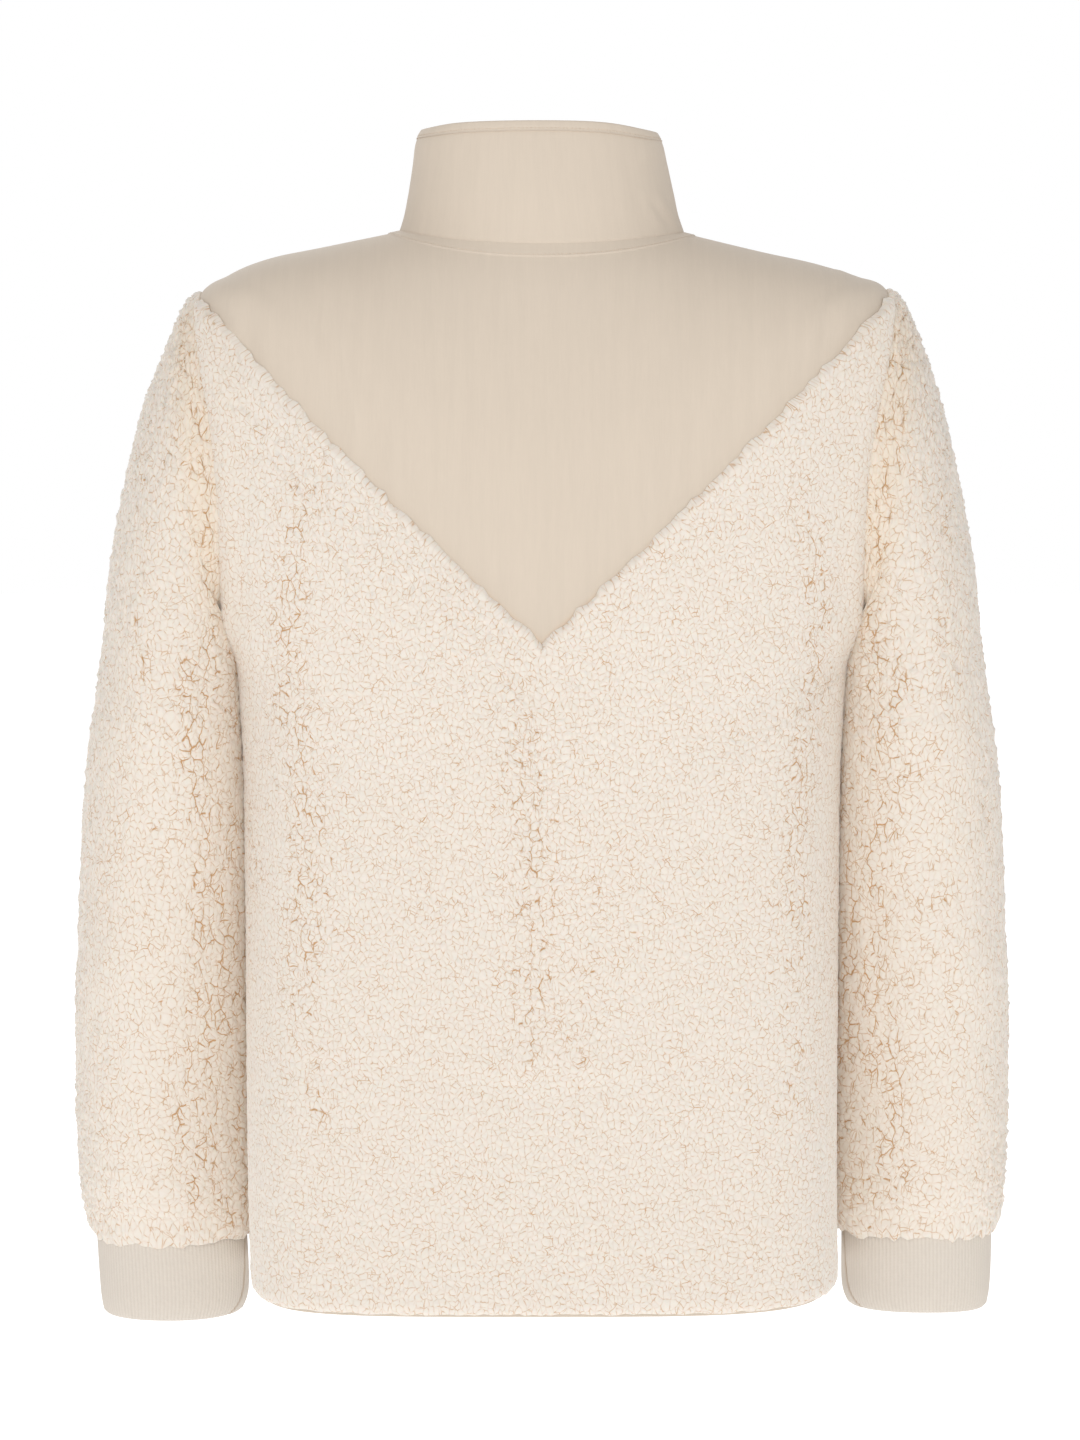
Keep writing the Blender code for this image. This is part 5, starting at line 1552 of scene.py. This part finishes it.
def button_finish():
    """Matte plastic with a faint swirl, a little glossier where the swirl is deeper."""
    made, tree, shader = new_finish("button")
    place = node(tree, "ShaderNodeTexCoord").outputs["Object"]
    swirl = node(tree, "ShaderNodeTexNoise", {"Vector": place, "Scale": 90.0, "Detail": 3.0,
                                              "Distortion": 2.0}).outputs["Fac"]
    tint = blend(tree, swirl, BUTTON_DEEP, BUTTON_PALE)
    tree.links.new(tint, shader.inputs["Base Color"])
    tree.links.new(ramp(tree, swirl, 0.3, 0.7, 0.28, 0.42), shader.inputs["Roughness"])
    return made


button = button_finish()


def stand_on(points, place, way):
    """Turns points with +Z outward so that they stand on a place, facing its way."""
    across = np.array([1.0, 0.0, 0.0])
    return place + points @ np.array([across, np.cross(way, across), way])


def turned(shape, profile, radius, sides, at, place, way):
    """Adds a solid turned from (share of the radius, height) pairs, standing on a place."""
    around = np.linspace(0, 2 * math.pi, sides, endpoint=False)
    rings = []
    for reach, rise in profile:
        spread = np.stack([np.cos(around), np.sin(around)], axis=-1) * radius * reach
        ring = np.concatenate([spread, np.full((sides, 1), rise)], axis=-1) + at
        ring = settled(stand_on(ring if reach else ring[:1], place, way)) * MM
        rings.append([shape.verts.new(p) for p in ring])
    for low, high in zip(rings, rings[1:]):
        for k in range(sides):
            m = (k + 1) % sides
            if len(low) == 1:
                shape.faces.new((low[0], high[m], high[k]))
            elif len(high) == 1:
                shape.faces.new((low[k], low[m], high[0]))
            else:
                shape.faces.new((low[k], low[m], high[m], high[k]))
    if len(rings[0]) > 1:
        shape.faces.new(rings[0])
        shape.faces.new(rings[-1])


line, facing_way = top_face[BAND_COLUMNS // 2], band_out[BAND_COLUMNS // 2]
order = np.argsort(line[:, 2])
for number, at_z in enumerate(button_heights):
    place = np.array([np.interp(at_z, line[order, 2], line[order, k]) for k in range(3)])
    way = unit(np.array([np.interp(at_z, line[order, 2], facing_way[order, k]) for k in range(3)]))
    place = place + way * 2 * SEAM_GAP
    disc, holes, sewing = bmesh.new(), bmesh.new(), bmesh.new()
    turned(disc, BUTTON_PROFILE, BUTTON_RADIUS, BUTTON_SIDES, np.zeros(3), place, way)
    for dx in (-1, 1):
        for dy in (-1, 1):
            at = np.array([dx, dy, 0]) * HOLE_SPREAD
            turned(holes, ((1, -1), (1, BUTTON_THICK + 1)), HOLE_RADIUS, 16, at, place, way)
    for dx in (-1, 1):
        around = np.linspace(0, 2 * math.pi, 8, endpoint=False)
        path_y = np.linspace(-HOLE_SPREAD, HOLE_SPREAD, 9)
        rise = 2.0 + 0.45 * np.cos(path_y / HOLE_SPREAD * math.pi / 2)
        rise[0] = rise[-1] = 0.2
        rings = []
        for py, pz in zip(path_y, rise):
            ring = np.stack([np.cos(around) * 0.6 + dx * HOLE_SPREAD, np.full(8, py),
                             np.sin(around) * 0.3 + pz], axis=-1)
            rings.append([sewing.verts.new(p) for p in settled(stand_on(ring, place, way)) * MM])
        for low_ring, high_ring in zip(rings, rings[1:]):
            for k in range(8):
                m = (k + 1) % 8
                sewing.faces.new((low_ring[k], low_ring[m], high_ring[m], high_ring[k]))
        sewing.faces.new(rings[0])
        sewing.faces.new(rings[-1])
    made = []
    for name, shape, finish in ((f"button_disc_{number + 1}", disc, button),
                                (f"button_holes_{number + 1}", holes, button),
                                (f"button_thread_{number + 1}", sewing, thread)):
        bmesh.ops.recalc_face_normals(shape, faces=shape.faces)
        mesh = bpy.data.meshes.new(name)
        shape.to_mesh(mesh)
        shape.free()
        mesh.materials.append(finish)
        obj = bpy.data.objects.new(name, mesh)
        scene.collection.objects.link(obj)
        made.append(obj)
    plate, cutter, tied = made
    cut = plate.modifiers.new("holes", "BOOLEAN")
    cut.solver = "EXACT"
    cut.object = cutter
    plain_mesh(plate)
    bpy.data.objects.remove(cutter)
    plate.data.set_sharp_from_angle(angle=math.radians(35))
    tied.data.shade_smooth()
    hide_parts(f"button_{number + 1}")
    for obj in (plate, tied):
        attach(obj, "root")
